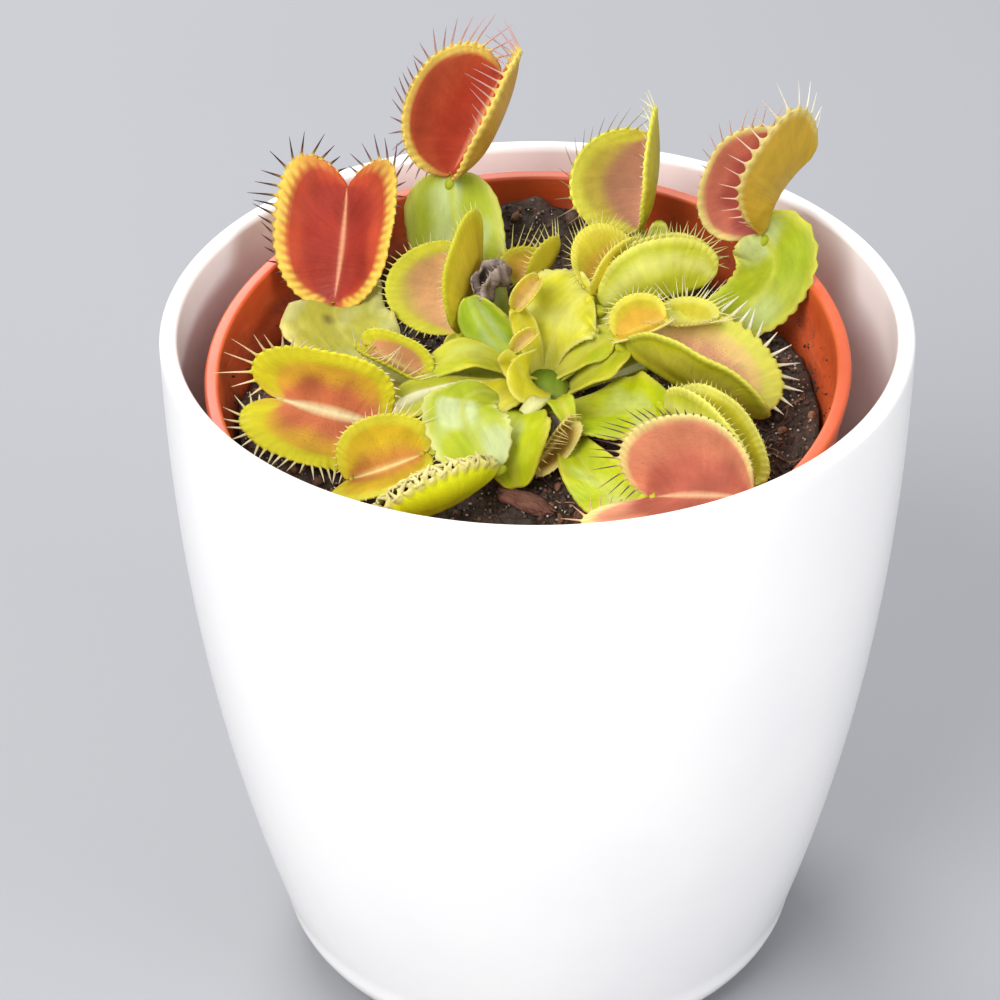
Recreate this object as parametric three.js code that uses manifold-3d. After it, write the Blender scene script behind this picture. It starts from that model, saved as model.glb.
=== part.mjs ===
// A Venus flytrap in an orange nursery pot, standing askew inside a white glazed cachepot.
// Millimetres, +Z up, the front at -Y. The origin is the middle of the cachepot's foot.
import * as THREE from "three";
import { mergeVertices } from "three/addons/utils/BufferGeometryUtils.js";
import Module from "manifold-3d";

const wasm = await Module();
wasm.setup();

// Pieces that touch on the real plant keep this gap.
const CLEARANCE = 0.3;
const UP = new THREE.Vector3(0, 0, 1);

// The cachepot's side narrows as rimRadius * (1 - taper * depth ^ taperPower), depth going from 0 to 1.
const CACHEPOT = {
  rimRadius: 52.5,
  height: 105,
  taper: 0.3,
  taperPower: 2.15,
  wall: 2.5,
  lip: 1.25,
  floor: 7,
  footRadius: 29.5,
  footRound: 8,
  footRecess: 22,
  footDepth: 2,
  recessSlope: 2,
  outsideHeights: [16, 28, 42, 58, 76, 94],
  insideHeights: [94, 74, 54, 34, 14],
  around: 40,
  // The inside's bottom corner: heights, and how far in from the wall each point stands.
  floorCorner: [
    [9, 1.15],
    [7, 4.4],
  ],
};

// The nursery pot stands on its bottom's front edge and leans forward, with its left side a little lower.
const NURSERY = {
  rimRadius: 45,
  bottomRadius: 30,
  height: 89.7,
  wall: 1,
  lip: 1.5,
  collar: 8,
  collarStep: 0.8,
  edge: 0.5,
  around: 32,
  drains: 4,
  drainRadius: 3.5,
  drainRing: 18,
  drillDepth: 6,
  rimCentre: [-1.4, -3.2, 100],
  lean: [-0.029, -0.125, 1],
};

// Heights in the soil are above the nursery pot's bottom, along that pot's axis.
const SOIL = {
  level: 77,
  // Each mound: x, y, height, spread.
  mounds: [
    [0, 41, 10, 8],
    [-38, -4, 6, 9],
    [-30, 26, 3, 10],
    [38, 6, 2, 10],
    [1, 3, 1.5, 12],
    [18, 34, 3, 7],
  ],
  ripple: 0.5,
  rippleLength: 9,
  // Ripples from front to back, as a part of those from side to side.
  rippleRatio: 0.8,
  // The soil ends at least this far below the nursery pot's rim.
  belowRim: 1.5,
  // Room between the soil's straight facets and the round wall.
  facetRoom: 0.1,
  around: 30,
  rings: 7,
};

const RHIZOME = { centre: [1, 3, 88.5], radius: 4.4, halfHeight: 5.5 };
// A petiole's curve starts this far inside the rhizome, as a part of the rhizome's radius at that height.
const ROOT_DEPTH = 0.6;

const BARK = {
  centre: [-1.5, -19.5, 87.2],
  length: 8,
  width: 3.4,
  thick: 1.8,
  turn: 25,
  tilt: 8,
  // Its ends are pinched, and its sides waver.
  pinch: 1.6,
  waver: 0.12,
  waves: 11,
};

// A petiole's blade. steps and across say how many points its sheet has along and on each side.
const BLADE = {
  thick: 0.8,
  steps: 6,
  across: 1,
  // A stalk is at most this half width, and narrows by this part along the blade.
  stalk: 1.2,
  narrows: 0.4,
  thinnest: 0.45,
  // The share of the stalk that a blade's own half width already holds.
  stalkShare: 0.7,
  rise: 1.7,
  fall: 0.6,
  peak: 0.6,
  wings: [15, 15],
  // It faces up at the root, and its own way from this part of its length on.
  facesBy: 0.625,
  // A higher power keeps the ears nearer to the blade's end.
  earPower: 6,
};

// A trap's lobes: sag is how far the midrib bows back, sweep how late an outline leaves the midrib.
const LOBE = { thick: 0.8, along: 8, out: 2, ends: 0.04, toe: 0.3, heel: 0.22, sag: 0.05, sweep: 1.3 };
const HINGE_KNOT = 1.1;

// Directions are [azimuth, elevation] in degrees: azimuth 0 is right, 90 back, 180 left and 270 front.
// root is [azimuth around the rhizome, height]. half is half the blade's width, peak is where along it the
// blade is widest, ears how far its corners reach on past the hinge, and wings how far its sides fold up.
// A trap's tip is the way its midrib runs, opens the way its mouth faces, gape half the angle between the
// lobes at mid height, and cup how far each lobe curls. toe and heel say how far the lobes stand past the
// midrib's ends, skew how far their outline leans to the far end, and a square under 1 makes it boxier.
// A pair is for the two lobes: the left one, with the midrib up and the mouth to the viewer, is first.
const LEAVES = [
  { name: "leaf_red_tall", root: [115, 91], via: [-9, 18, 96], hinge: [-12.4, 27, 112.6],
    face: [265, 30], half: 7.2, peak: 0.85, ears: 0.4,
    trap: { tip: [47, 49], opens: [240, 22], len: 16.5, lobe: 13, gape: [32, 26], cup: [55, 80],
      toe: [0.36, 0.4], heel: 0.3, skew: [0, 0.12] } },
  { name: "leaf_red_wide", root: [150, 89.5], via: [-22, 5, 94.5], hinge: [-29.3, 16, 97.5],
    face: [262, 68], half: 8, peak: 0.86, ears: 0.6,
    trap: { tip: [75, 62], opens: [252, 25], len: 17, lobe: [9.8, 9.5], gape: [64, 60], cup: 10,
      toe: 0.38, heel: 0.36, skew: [0.4, 0.52], square: 0.78 } },
  { name: "leaf_mauve_back", root: [65, 90.5], via: [10, 17, 94], hinge: [14.8, 24, 105],
    face: [265, 45], half: 4, peak: 0.72,
    trap: { tip: [75, 62], opens: [236, 25], len: 14, lobe: [12.8, 12.3], gape: [30, 24], cup: [50, 62],
      toe: [0.26, 0.4], skew: [-0.06, 0.25] } },
  { name: "leaf_gold_right", root: [35, 90], via: [29.5, 12, 99], hinge: [32, 16, 109],
    face: [265, 35], half: 6.4, peak: 0.84, ears: 0.85, wings: [28, 12],
    trap: { tip: [28, 54], opens: [203, 5], len: 14, lobe: [10.5, 11.3], gape: [29, 23], cup: 45,
      toe: [0.3, 0.44], heel: [0.42, 0.16], skew: [-0.08, 0.27], square: [1, 0.72], sag: -0.12 } },
  { name: "leaf_salmon_left", root: [190, 92], via: [-15, -2.5, 94.2], hinge: [-21.5, -6, 91],
    face: [265, 65], half: 2.8, wings: [10, 10],
    trap: { tip: [180, 17], opens: [268, 36], len: 15.5, lobe: 9.5, gape: 52, cup: 20, toe: 0.45,
      heel: 0.25, square: 0.8 } },
  { name: "leaf_bristle_right", root: [0, 90], via: [9, 2, 96], hinge: [13, 2, 99],
    face: [250, 60], half: 3,
    trap: { tip: [339, -21], opens: [75, 78], len: 20, lobe: 11.5, gape: 40, cup: 25, toe: 0.35 } },
  { name: "leaf_salmon_front", root: [300, 90.5], via: [8, -20, 91.5], hinge: [15, -30, 95],
    face: [262, 60], half: 5.2, peak: 0.75, ears: 0.3,
    trap: { tip: [347, 8], opens: [265, 50], len: 14, lobe: [12.4, 11], gape: [40, 46], cup: 30,
      toe: 0.22, heel: [0.42, 0.46], skew: [0, -0.25], sag: -0.08 } },
  { name: "leaf_green_front", root: [325, 89.5], via: [10.8, -5.5, 92.8], hinge: [18, -11, 97.2],
    face: [262, 66], half: 6.6, peak: 0.44,
    trap: { tip: [308, -15], opens: [40, 75], len: 17, lobe: 8.2, gape: 14, cup: 70, toe: 0.35 } },
  { name: "leaf_lime_wide", root: [50, 92], via: [8, 7, 97], hinge: [9.5, 9, 101.5],
    face: [265, 60], half: 2.5,
    trap: { tip: [15, 8], opens: [90, 75], len: 16.2, lobe: 8.7, gape: 5, cup: 58 } },
  { name: "leaf_peach_left", root: [135, 92.5], via: [-8, 8, 92], hinge: [-11.4, 9, 97],
    face: [250, 50], half: 3.2, peak: 0.72,
    trap: { tip: [62, 55], opens: [200, 28], len: 12, lobe: [12.2, 9.5], gape: [32, 30], cup: 35,
      toe: [0.3, 0.44], heel: [0.3, 0.2], skew: [-0.1, 0.34] } },
  { name: "leaf_closed_front", root: [245, 91], via: [-10, -9, 97.2], hinge: [-6, -20, 93],
    face: [250, 55], half: 6, peak: 0.8, ears: 0.3, wings: [-10, 10],
    trap: { tip: [209, -7], opens: [299, 82], len: 17.5, lobe: 7.2, gape: 8, cup: 90, sag: 0.14 } },
  { name: "leaf_orange_left", root: [215, 89.5], via: [-9, -6, 94], hinge: [-15.2, -14.8, 92.2],
    face: [260, 60], half: 2.6, peak: 0.65,
    trap: { tip: [192, -15], opens: [262, 55], len: 11.6, lobe: [8, 7.8], gape: 42, cup: 15,
      toe: [0.42, 0.22], heel: [0.3, 0.38], skew: [0.1, 0.1] } },
  { name: "leaf_lime_small", root: [70, 93], via: [3.5, 8, 100], hinge: [7.7, 9.5, 103],
    face: [258, 45], half: 6.5, peak: 0.62, ears: 0.2,
    trap: { tip: [45, 12], opens: [120, 76], len: 10, lobe: [8.4, 6.6], gape: [24, 22], cup: [30, 40] } },
  { name: "leaf_amber_small", root: [100, 93], via: [-2, 10, 96], hinge: [-1, 13, 101.6],
    face: [265, 50], half: 2.2,
    trap: { tip: [30, 45], opens: [205, 35], len: 5.6, lobe: [6.4, 7.6], gape: [32, 28], cup: 40,
      toe: [0.3, 0.44], skew: [-0.2, 0.3] } },
  { name: "leaf_striped_left", root: [170, 91.5], via: [-9, 3, 97], hinge: [-15.8, 1, 94.5],
    face: [255, 60], half: 2.4,
    trap: { tip: [162, 22], opens: [258, 56], len: 9.8, lobe: [3.6, 4.2], gape: [26, 44], cup: [40, 20],
      toe: 0.36, skew: [0, -0.2] } },
  { name: "leaf_young_right", root: [20, 93], via: [8, 4, 97.5], hinge: [11, 3, 100],
    face: [255, 50], half: 2.4,
    trap: { tip: [8, 18], opens: [265, 65], len: 7.5, lobe: 5, gape: 40, cup: 30 } },
  { name: "leaf_young_behind", root: [25, 92.5], via: [12, 5.5, 99], hinge: [16.9, 6, 100.4],
    face: [255, 50], half: 1.8,
    trap: { tip: [0, 3], opens: [270, 70], len: 8.4, lobe: 3.6, gape: 38, cup: 30 } },
  { name: "leaf_hanging_front", root: [280, 89], via: [3, -5, 94.5], hinge: [4.5, -10, 93.8],
    face: [270, 60], half: 1.6,
    trap: { tip: [224, -31], opens: [285, 52], len: 8.2, lobe: [3.2, 3.2], gape: [50, 6], cup: [40, 60],
      heel: 0.36 } },
  { name: "leaf_folded_front", root: [260, 89], via: [-3.2, -12, 95], hinge: [-2.7, -18, 88.5],
    face: [268, 55], half: 5.4, wings: [25, -5] },
  { name: "leaf_frosty_middle", root: [145, 93], via: [-6, 6, 98], hinge: [-9.5, 8, 103.5],
    face: [245, 35], half: 3.4, peak: 0.66 },
  { name: "leaf_heart_middle", root: [170, 93], via: [-3, 1, 96.5], hinge: [-3.2, 1, 98.8],
    face: [250, 35], half: 2,
    trap: { tip: [20, 35], opens: [262, 30], len: 4, lobe: 2.6, gape: [34, 10], cup: 50 } },
  { name: "leaf_bud_middle", root: [120, 93], via: [-1.5, 6, 99], hinge: [-3, 5.8, 102.8],
    face: [262, 30], half: 1.6,
    trap: { tip: [35, 42], opens: [262, 20], len: 5.4, lobe: 3.6, gape: [30, 12], cup: 55 } },
  { name: "leaf_cupped_front", root: [275, 92], via: [-1, -1.5, 95.5], hinge: [-3, -2.4, 99.5],
    face: [262, 66], half: 4.4, wings: [6, 6] },
  { name: "leaf_yellow_left", root: [225, 92], via: [-5, -3.5, 94.5], hinge: [-8.5, -7.5, 92.4],
    face: [262, 65], half: 3.2 },
  { name: "leaf_bud_back", root: [60, 92], via: [14, 16, 96], hinge: [17.5, 19, 109],
    face: [262, 40], half: 1.8, peak: 0.86 },
  { name: "leaf_dead_back", root: [130, 90], via: [-6, 10, 97], hinge: [-7.4, 9.5, 101.8],
    face: [262, 40], half: 1.2, peak: 0.5, look: "dead",
    trap: { tip: [38, 40], opens: [215, 42], len: 5.6, lobe: 4.4, gape: 16, cup: 80 } },
  { name: "stalk_pale", root: [265, 90], via: [0.5, -4.5, 94.5], hinge: [-1.8, -8, 94.2],
    face: [262, 60], half: 0.8, peak: 0.5 },
  { name: "stalk_dry", root: [290, 86.5], via: [2.5, -5, 92], hinge: [2, -8.5, 89.5],
    face: [262, 60], half: 0.6, peak: 0.5, look: "dead" },
];

const COLOURS = {
  glaze: { color: "#f4f3f2", roughness: 0.25, metalness: 0 },
  terracotta: { color: "#d9683a", roughness: 0.5, metalness: 0 },
  peat: { color: "#2a211c", roughness: 0.9, metalness: 0 },
  rhizome: { color: "#d9dfae", roughness: 0.6, metalness: 0 },
  leaf: { color: "#b4c22b", roughness: 0.45, metalness: 0 },
  dead: { color: "#4a3f3a", roughness: 0.8, metalness: 0 },
  bark: { color: "#6b4033", roughness: 0.9, metalness: 0 },
};

function vector(list) {
  return new THREE.Vector3(...list);
}

function direction([azimuth, elevation]) {
  const a = THREE.MathUtils.degToRad(azimuth);
  const e = THREE.MathUtils.degToRad(elevation);
  return new THREE.Vector3(Math.cos(a) * Math.cos(e), Math.sin(a) * Math.cos(e), Math.sin(e));
}

// A closed three.js geometry as a manifold solid, with its shared vertices merged.
function solidFrom(geometry) {
  const bare = new THREE.BufferGeometry();
  bare.setAttribute("position", geometry.getAttribute("position"));
  if (geometry.index) bare.setIndex(geometry.index);
  const merged = mergeVertices(bare, 1e-4);
  const vertProperties = new Float32Array(merged.attributes.position.array);
  const triVerts = new Uint32Array(merged.index.array);
  return new wasm.Manifold(new wasm.Mesh({ numProp: 3, vertProperties, triVerts }));
}

function geometryFrom(solid) {
  const { vertProperties, triVerts } = solid.getMesh();
  const geometry = new THREE.BufferGeometry();
  geometry.setAttribute("position", new THREE.BufferAttribute(new Float32Array(vertProperties), 3));
  geometry.setIndex(new THREE.BufferAttribute(new Uint32Array(triVerts), 1));
  geometry.computeVertexNormals();
  return geometry;
}

function largestPiece(solid) {
  return solid.decompose().reduce((best, piece) => (piece.volume() > best.volume() ? piece : best));
}

function namedMesh(name, geometry, look) {
  const mesh = new THREE.Mesh(geometry, new THREE.MeshStandardMaterial(COLOURS[look]));
  mesh.name = name;
  return mesh;
}

// A sheet given as rows of points and unit normals becomes a closed body: its front is the points, its
// back lies thickness behind them. grow moves the front forward and the edges out as well.
function sheetGeometry(rows, normals, thickness, grow) {
  const along = rows.length;
  const across = rows[0].length;
  const positions = [];
  const push = (point) => positions.push(point.x, point.y, point.z);
  const middle = (across - 1) / 2;
  rows.forEach((row, i) =>
    row.forEach((point, j) => {
      const outward = grownEdge(rows, i, j, middle, grow);
      push(point.clone().add(outward).addScaledVector(normals[i][j], grow));
    }),
  );
  rows.forEach((row, i) =>
    row.forEach((point, j) => {
      const outward = grownEdge(rows, i, j, middle, grow);
      push(point.clone().add(outward).addScaledVector(normals[i][j], -thickness - grow));
    }),
  );
  const back = along * across;
  const index = [];
  const quad = (a, b, c, d) => index.push(a, b, c, a, c, d);
  for (let i = 0; i + 1 < along; i++)
    for (let j = 0; j + 1 < across; j++) {
      const a = i * across + j;
      quad(a, a + 1, a + across + 1, a + across);
      quad(back + a, back + a + across, back + a + across + 1, back + a + 1);
    }
  for (let i = 0; i + 1 < along; i++) {
    const left = i * across;
    const right = left + across - 1;
    quad(left, left + across, back + left + across, back + left);
    quad(right, back + right, back + right + across, right + across);
  }
  for (let j = 0; j + 1 < across; j++) {
    const end = (along - 1) * across + j;
    quad(j, back + j, back + j + 1, j + 1);
    quad(end, end + 1, back + end + 1, back + end);
  }
  const geometry = new THREE.BufferGeometry();
  geometry.setAttribute("position", new THREE.Float32BufferAttribute(positions, 3));
  geometry.setIndex(index);
  return geometry;
}

// How far an edge point of a sheet moves away from its neighbours when the sheet grows.
function grownEdge(rows, i, j, middle, grow) {
  const shift = new THREE.Vector3();
  if (grow === 0) return shift;
  const last = rows[0].length - 1;
  if (j === 0 || j === last) {
    const inner = rows[i][j === 0 ? 1 : last - 1];
    shift.add(rows[i][j].clone().sub(inner).normalize().multiplyScalar(grow));
  }
  if (i === 0 || i === rows.length - 1) {
    const before = rows[i === 0 ? 1 : i - 1][Math.round(middle)];
    shift.add(rows[i][Math.round(middle)].clone().sub(before).normalize().multiplyScalar(grow));
  }
  return shift;
}

// An outward-facing solid from a sheet, whichever way its rows run.
function sheetSolid(rows, normals, thickness, grow) {
  const geometry = sheetGeometry(rows, normals, thickness, grow);
  const solid = solidFrom(geometry);
  if (solid.volume() > 0) return solid;
  const index = geometry.getIndex();
  for (let i = 0; i < index.count; i += 3) {
    const kept = index.getX(i + 1);
    index.setX(i + 1, index.getX(i + 2));
    index.setX(i + 2, kept);
  }
  return solidFrom(geometry);
}

function rootPoint([azimuth, height]) {
  const level = (height - RHIZOME.centre[2]) / RHIZOME.halfHeight;
  const radius = ROOT_DEPTH * RHIZOME.radius * Math.sqrt(1 - level * level);
  return vector(RHIZOME.centre).setZ(height).addScaledVector(direction([azimuth, 0]), radius);
}

// The petiole's blade: a leaf shape around a curve from the rhizome to the trap's hinge.
function petioleSheet(leaf) {
  const start = rootPoint(leaf.root);
  const end = vector(leaf.hinge);
  const handle = vector(leaf.via).multiplyScalar(2).addScaledVector(start, -0.5).addScaledVector(end, -0.5);
  const curve = new THREE.QuadraticBezierCurve3(start, handle, end);
  const facing = direction(leaf.face);
  const wings = leaf.wings ?? BLADE.wings;
  const rows = [];
  const normals = [];
  for (let i = 0; i < BLADE.steps; i++) {
    const t = i / (BLADE.steps - 1);
    const centre = curve.getPoint(t);
    const tangent = curve.getTangent(t);
    const turn = Math.min(t / BLADE.facesBy, 1);
    const normal = UP.clone().multiplyScalar(1 - turn).addScaledVector(facing, turn);
    normal.addScaledVector(tangent, -normal.dot(tangent)).normalize();
    const side = new THREE.Vector3().crossVectors(tangent, normal);
    const width = bladeWidth(leaf, t);
    const row = [];
    for (let j = -BLADE.across; j <= BLADE.across; j++) {
      const s = j / BLADE.across;
      const wing = THREE.MathUtils.degToRad(s < 0 ? wings[0] : wings[1]);
      const point = centre.clone().addScaledVector(side, s * Math.cos(wing) * width);
      point.addScaledVector(normal, Math.abs(s) * Math.sin(wing) * width);
      row.push(point.addScaledVector(tangent, (leaf.ears ?? 0) * width * s * s * t ** BLADE.earPower));
    }
    rows.push(row);
    normals.push(row.map(() => normal));
  }
  return { rows, normals };
}

function bladeWidth(leaf, t) {
  const peak = leaf.peak ?? BLADE.peak;
  const rising = Math.sin((Math.PI / 2) * Math.min(t / peak, 1)) ** BLADE.rise;
  const falling = Math.cos((Math.PI / 2) * Math.max((t - peak) / (1 - peak), 0)) ** BLADE.fall;
  const stalk = Math.min(BLADE.stalk, leaf.half);
  const blade = (leaf.half - stalk * BLADE.stalkShare) * rising * falling;
  return Math.max(stalk * (1 - BLADE.narrows * t) + blade, BLADE.thinnest);
}

// A trap's measure for one lobe: hand is -1 for the left lobe and 1 for the right one.
function sided(value, hand) {
  return Array.isArray(value) ? value[hand < 0 ? 0 : 1] : value;
}

// One lobe's margin at u from 0 to 1: how far along the midrib, and how far from it.
function lobeMargin(trap, u, hand) {
  const past = u < 0.5 ? (trap.heel ?? LOBE.heel) : (trap.toe ?? LOBE.toe);
  const lobe = sided(trap.lobe, hand);
  const low = sided(past, hand) * lobe;
  const high = lobe - low;
  const dip = Math.asin(low / high);
  const reach = (0.5 * trap.len) / Math.cos(dip);
  const fromTop = (Math.abs(u - 0.5) / 0.5) * (Math.PI / 2 + dip);
  const angle = Math.PI / 2 - fromTop;
  const square = sided(trap.square ?? 1, hand);
  const wide = Math.abs(Math.cos(angle)) ** square * Math.cos(dip) ** (1 - square);
  const tall = angle > 0 ? Math.sin(angle) ** square : Math.sin(angle);
  const away = low + high * tall;
  const skew = sided(trap.skew ?? 0, hand) * away;
  return { along: trap.len / 2 + Math.sign(u - 0.5) * reach * wide + skew, away };
}

// Both lobes as one sheet that bends at the midrib.
function trapSheet(leaf) {
  const trap = leaf.trap;
  const rib = direction(trap.tip);
  const mouth = direction(trap.opens);
  mouth.addScaledVector(rib, -mouth.dot(rib)).normalize();
  const side = new THREE.Vector3().crossVectors(rib, mouth);
  const sag = (trap.sag ?? LOBE.sag) * trap.len;
  const rows = [];
  const normals = [];
  for (let i = 0; i < LOBE.along; i++) {
    const u = LOBE.ends + ((1 - 2 * LOBE.ends) * i) / (LOBE.along - 1);
    const spine = vector(leaf.hinge).addScaledVector(rib, u * trap.len);
    spine.addScaledVector(mouth, -4 * sag * u * (1 - u));
    const row = [];
    const rowNormals = [];
    for (let j = -LOBE.out; j <= LOBE.out; j++) {
      const v = Math.abs(j) / LOBE.out;
      const hand = Math.sign(j);
      const { along, away } = lobeMargin(trap, u, hand);
      const cup = THREE.MathUtils.degToRad(sided(trap.cup, hand));
      const steep = THREE.MathUtils.degToRad(sided(trap.gape, hand)) + cup / 2;
      const up = (Math.sin(steep) - Math.sin(steep - cup * v)) / cup;
      const out = (Math.cos(steep - cup * v) - Math.cos(steep)) / cup;
      const point = spine.clone().addScaledVector(mouth, up * away);
      point.addScaledVector(side, hand * out * away);
      row.push(point.addScaledVector(rib, (along - u * trap.len) * v ** LOBE.sweep));
      const bend = steep - cup * v;
      const normal = mouth.clone();
      if (hand !== 0) {
        normal.multiplyScalar(Math.sin(bend)).addScaledVector(side, -hand * Math.cos(bend));
      }
      rowNormals.push(normal);
    }
    rows.push(row);
    normals.push(rowNormals);
  }
  return { rows, normals };
}

// The thickened place where the petiole meets the trap's midrib.
function hingeKnot(leaf, grow) {
  const knot = new THREE.OctahedronGeometry(HINGE_KNOT + grow, 0);
  const centre = vector(leaf.hinge).addScaledVector(direction(leaf.trap.opens), -LOBE.thick / 2);
  centre.addScaledVector(direction(leaf.trap.tip), LOBE.ends * leaf.trap.len);
  return solidFrom(knot.translate(...centre.toArray()));
}

function leafSolid(leaf, grow) {
  const blade = petioleSheet(leaf);
  const petiole = sheetSolid(blade.rows, blade.normals, BLADE.thick, grow);
  if (!leaf.trap) return petiole;
  const sheet = trapSheet(leaf);
  const trap = sheetSolid(sheet.rows, sheet.normals, LOBE.thick, grow);
  return petiole.add(hingeKnot(leaf, grow)).add(trap);
}

function lathe(points, segments) {
  const profile = points.map(([radius, height]) => new THREE.Vector2(radius, height));
  return new THREE.LatheGeometry(profile, segments).rotateX(Math.PI / 2);
}

// Points on a quarter of a circle, from angle a to angle b in degrees.
function arc(x, y, radius, a, b, steps) {
  return Array.from({ length: steps + 1 }, (_, i) => {
    const angle = THREE.MathUtils.degToRad(a + ((b - a) * i) / steps);
    return [x + radius * Math.cos(angle), y + radius * Math.sin(angle)];
  });
}

function cachepotRadius(height) {
  const depth = 1 - height / CACHEPOT.height;
  return CACHEPOT.rimRadius * (1 - CACHEPOT.taper * depth ** CACHEPOT.taperPower);
}

function cachepotGeometry(grow) {
  const pot = CACHEPOT;
  const outside = pot.outsideHeights.map((z) => [cachepotRadius(z) + grow, z]);
  const inside = pot.insideHeights.map((z) => [cachepotRadius(z) - pot.wall - grow, z]);
  const footWidth = cachepotRadius(pot.footRound) - pot.footRadius;
  const foot = arc(0, 0, 1, -90, 0, 5).map(([across, up]) => [
    pot.footRadius + across * (footWidth + grow),
    pot.footRound + up * (pot.footRound + grow),
  ]);
  const rim = arc(pot.rimRadius - pot.lip, pot.height - pot.lip, pot.lip + grow, 0, 180, 6);
  const corner = pot.floorCorner.map(([height, inward]) => [
    cachepotRadius(height) - pot.wall - inward - grow,
    height + (height === pot.floor ? grow : 0),
  ]);
  return lathe(
    [
      [0, pot.footDepth - grow],
      [pot.footRecess - pot.recessSlope, pot.footDepth - grow],
      [pot.footRecess, -grow],
      ...foot,
      ...outside,
      ...rim,
      ...inside,
      ...corner,
      [0, pot.floor + grow],
    ],
    pot.around,
  );
}

// The nursery pot's side widens evenly. Its collar stands collarStep further out.
function nurseryRadius(height) {
  const widening = NURSERY.rimRadius - NURSERY.collarStep - NURSERY.bottomRadius;
  return NURSERY.bottomRadius + (widening * height) / NURSERY.height;
}

function nurseryGeometry(grow) {
  const pot = NURSERY;
  const shoulder = pot.height - pot.collar;
  return lathe(
    [
      [0, -grow],
      [pot.bottomRadius - pot.wall + grow, -grow],
      [pot.bottomRadius + grow, pot.wall],
      [nurseryRadius(shoulder) + grow, shoulder - grow],
      [nurseryRadius(shoulder) + pot.collarStep + grow, shoulder + pot.collarStep],
      [pot.rimRadius + grow, pot.height - pot.edge],
      [pot.rimRadius - pot.edge, pot.height + grow],
      [pot.rimRadius - pot.lip, pot.height + grow],
      [pot.rimRadius - pot.lip - pot.edge - grow, pot.height - pot.edge],
      [nurseryRadius(shoulder) - pot.wall - grow, shoulder],
      [nurseryRadius(pot.wall) - pot.wall - grow, pot.wall + grow],
      [0, pot.wall + grow],
    ],
    pot.around,
  );
}

function nurseryPlacement() {
  const axis = vector(NURSERY.lean).normalize();
  const placement = new THREE.Group();
  placement.position.copy(vector(NURSERY.rimCentre)).addScaledVector(axis, -NURSERY.height);
  placement.quaternion.setFromUnitVectors(UP, axis);
  placement.updateMatrixWorld(true);
  return placement;
}

function drilledNursery() {
  let pot = solidFrom(nurseryGeometry(0));
  for (let k = 0; k < NURSERY.drains; k++) {
    const { drainRadius, drillDepth } = NURSERY;
    const drill = new THREE.CylinderGeometry(drainRadius, drainRadius, drillDepth, 16);
    drill.rotateX(Math.PI / 2);
    const angle = ((k + 0.5) * 2 * Math.PI) / NURSERY.drains;
    drill.translate(NURSERY.drainRing * Math.cos(angle), NURSERY.drainRing * Math.sin(angle), 0);
    pot = pot.subtract(solidFrom(drill));
  }
  return pot;
}

function soilHeight(x, y) {
  let height = SOIL.level;
  for (const [cx, cy, rise, spread] of SOIL.mounds) {
    height += rise * Math.exp(-((x - cx) ** 2 + (y - cy) ** 2) / (2 * spread ** 2));
  }
  const wave = (2 * Math.PI) / SOIL.rippleLength;
  height += SOIL.ripple * Math.sin(wave * x + 1) * Math.cos(wave * SOIL.rippleRatio * y);
  return Math.min(height, NURSERY.height - SOIL.belowRim);
}

// The soil fills the nursery pot: a cone frustum whose top is a disc of rings that follow soilHeight.
function soilGeometry(grow) {
  const { around, rings } = SOIL;
  const bottom = NURSERY.wall + CLEARANCE;
  const positions = [];
  const index = [];
  const ringStart = (ring) => 1 + ring * around;
  positions.push(0, 0, soilHeight(0, 0) + grow);
  for (let ring = 0; ring <= rings; ring++) {
    for (let k = 0; k < around; k++) {
      const angle = (2 * Math.PI * k) / around;
      const top = ring < rings;
      const wallRadius = nurseryRadius(top ? SOIL.level : bottom) - NURSERY.wall;
      const edge = wallRadius - CLEARANCE - SOIL.facetRoom;
      const radius = top ? (edge * (ring + 1)) / rings : edge;
      const x = radius * Math.cos(angle);
      const y = radius * Math.sin(angle);
      positions.push(x, y, top ? soilHeight(x, y) + grow : bottom);
    }
  }
  positions.push(0, 0, bottom);
  const lowest = positions.length / 3 - 1;
  for (let k = 0; k < around; k++) {
    const next = (k + 1) % around;
    index.push(0, ringStart(0) + k, ringStart(0) + next);
    for (let ring = 0; ring < rings; ring++) {
      const a = ringStart(ring) + k;
      const b = ringStart(ring) + next;
      index.push(a, a + around, b + around, a, b + around, b);
    }
    index.push(lowest, ringStart(rings) + next, ringStart(rings) + k);
  }
  const geometry = new THREE.BufferGeometry();
  geometry.setAttribute("position", new THREE.Float32BufferAttribute(positions, 3));
  geometry.setIndex(index);
  return geometry;
}

function rhizomeGeometry(grow) {
  const ball = new THREE.SphereGeometry(1, 12, 8).rotateX(Math.PI / 2);
  const wide = RHIZOME.radius + grow;
  return ball.scale(wide, wide, RHIZOME.halfHeight + grow).translate(...RHIZOME.centre);
}

// A chip of bark: a bar with pinched ends, lying askew on the soil.
function barkGeometry(grow) {
  const { length, width, thick } = BARK;
  const chip = new THREE.CylinderGeometry(1, 1, length + 2 * grow, 8, 4).rotateZ(Math.PI / 2);
  const places = chip.getAttribute("position");
  for (let i = 0; i < places.count; i++) {
    const along = places.getX(i) / length;
    const pinch = 1 - BARK.pinch * along * along + BARK.waver * Math.sin(BARK.waves * along);
    places.setY(i, places.getY(i) * (width / 2 + grow) * pinch);
    places.setZ(i, places.getZ(i) * (thick / 2 + grow) * pinch);
  }
  chip.rotateY(THREE.MathUtils.degToRad(BARK.tilt)).rotateZ(THREE.MathUtils.degToRad(-BARK.turn));
  return chip.translate(...BARK.centre);
}

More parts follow.
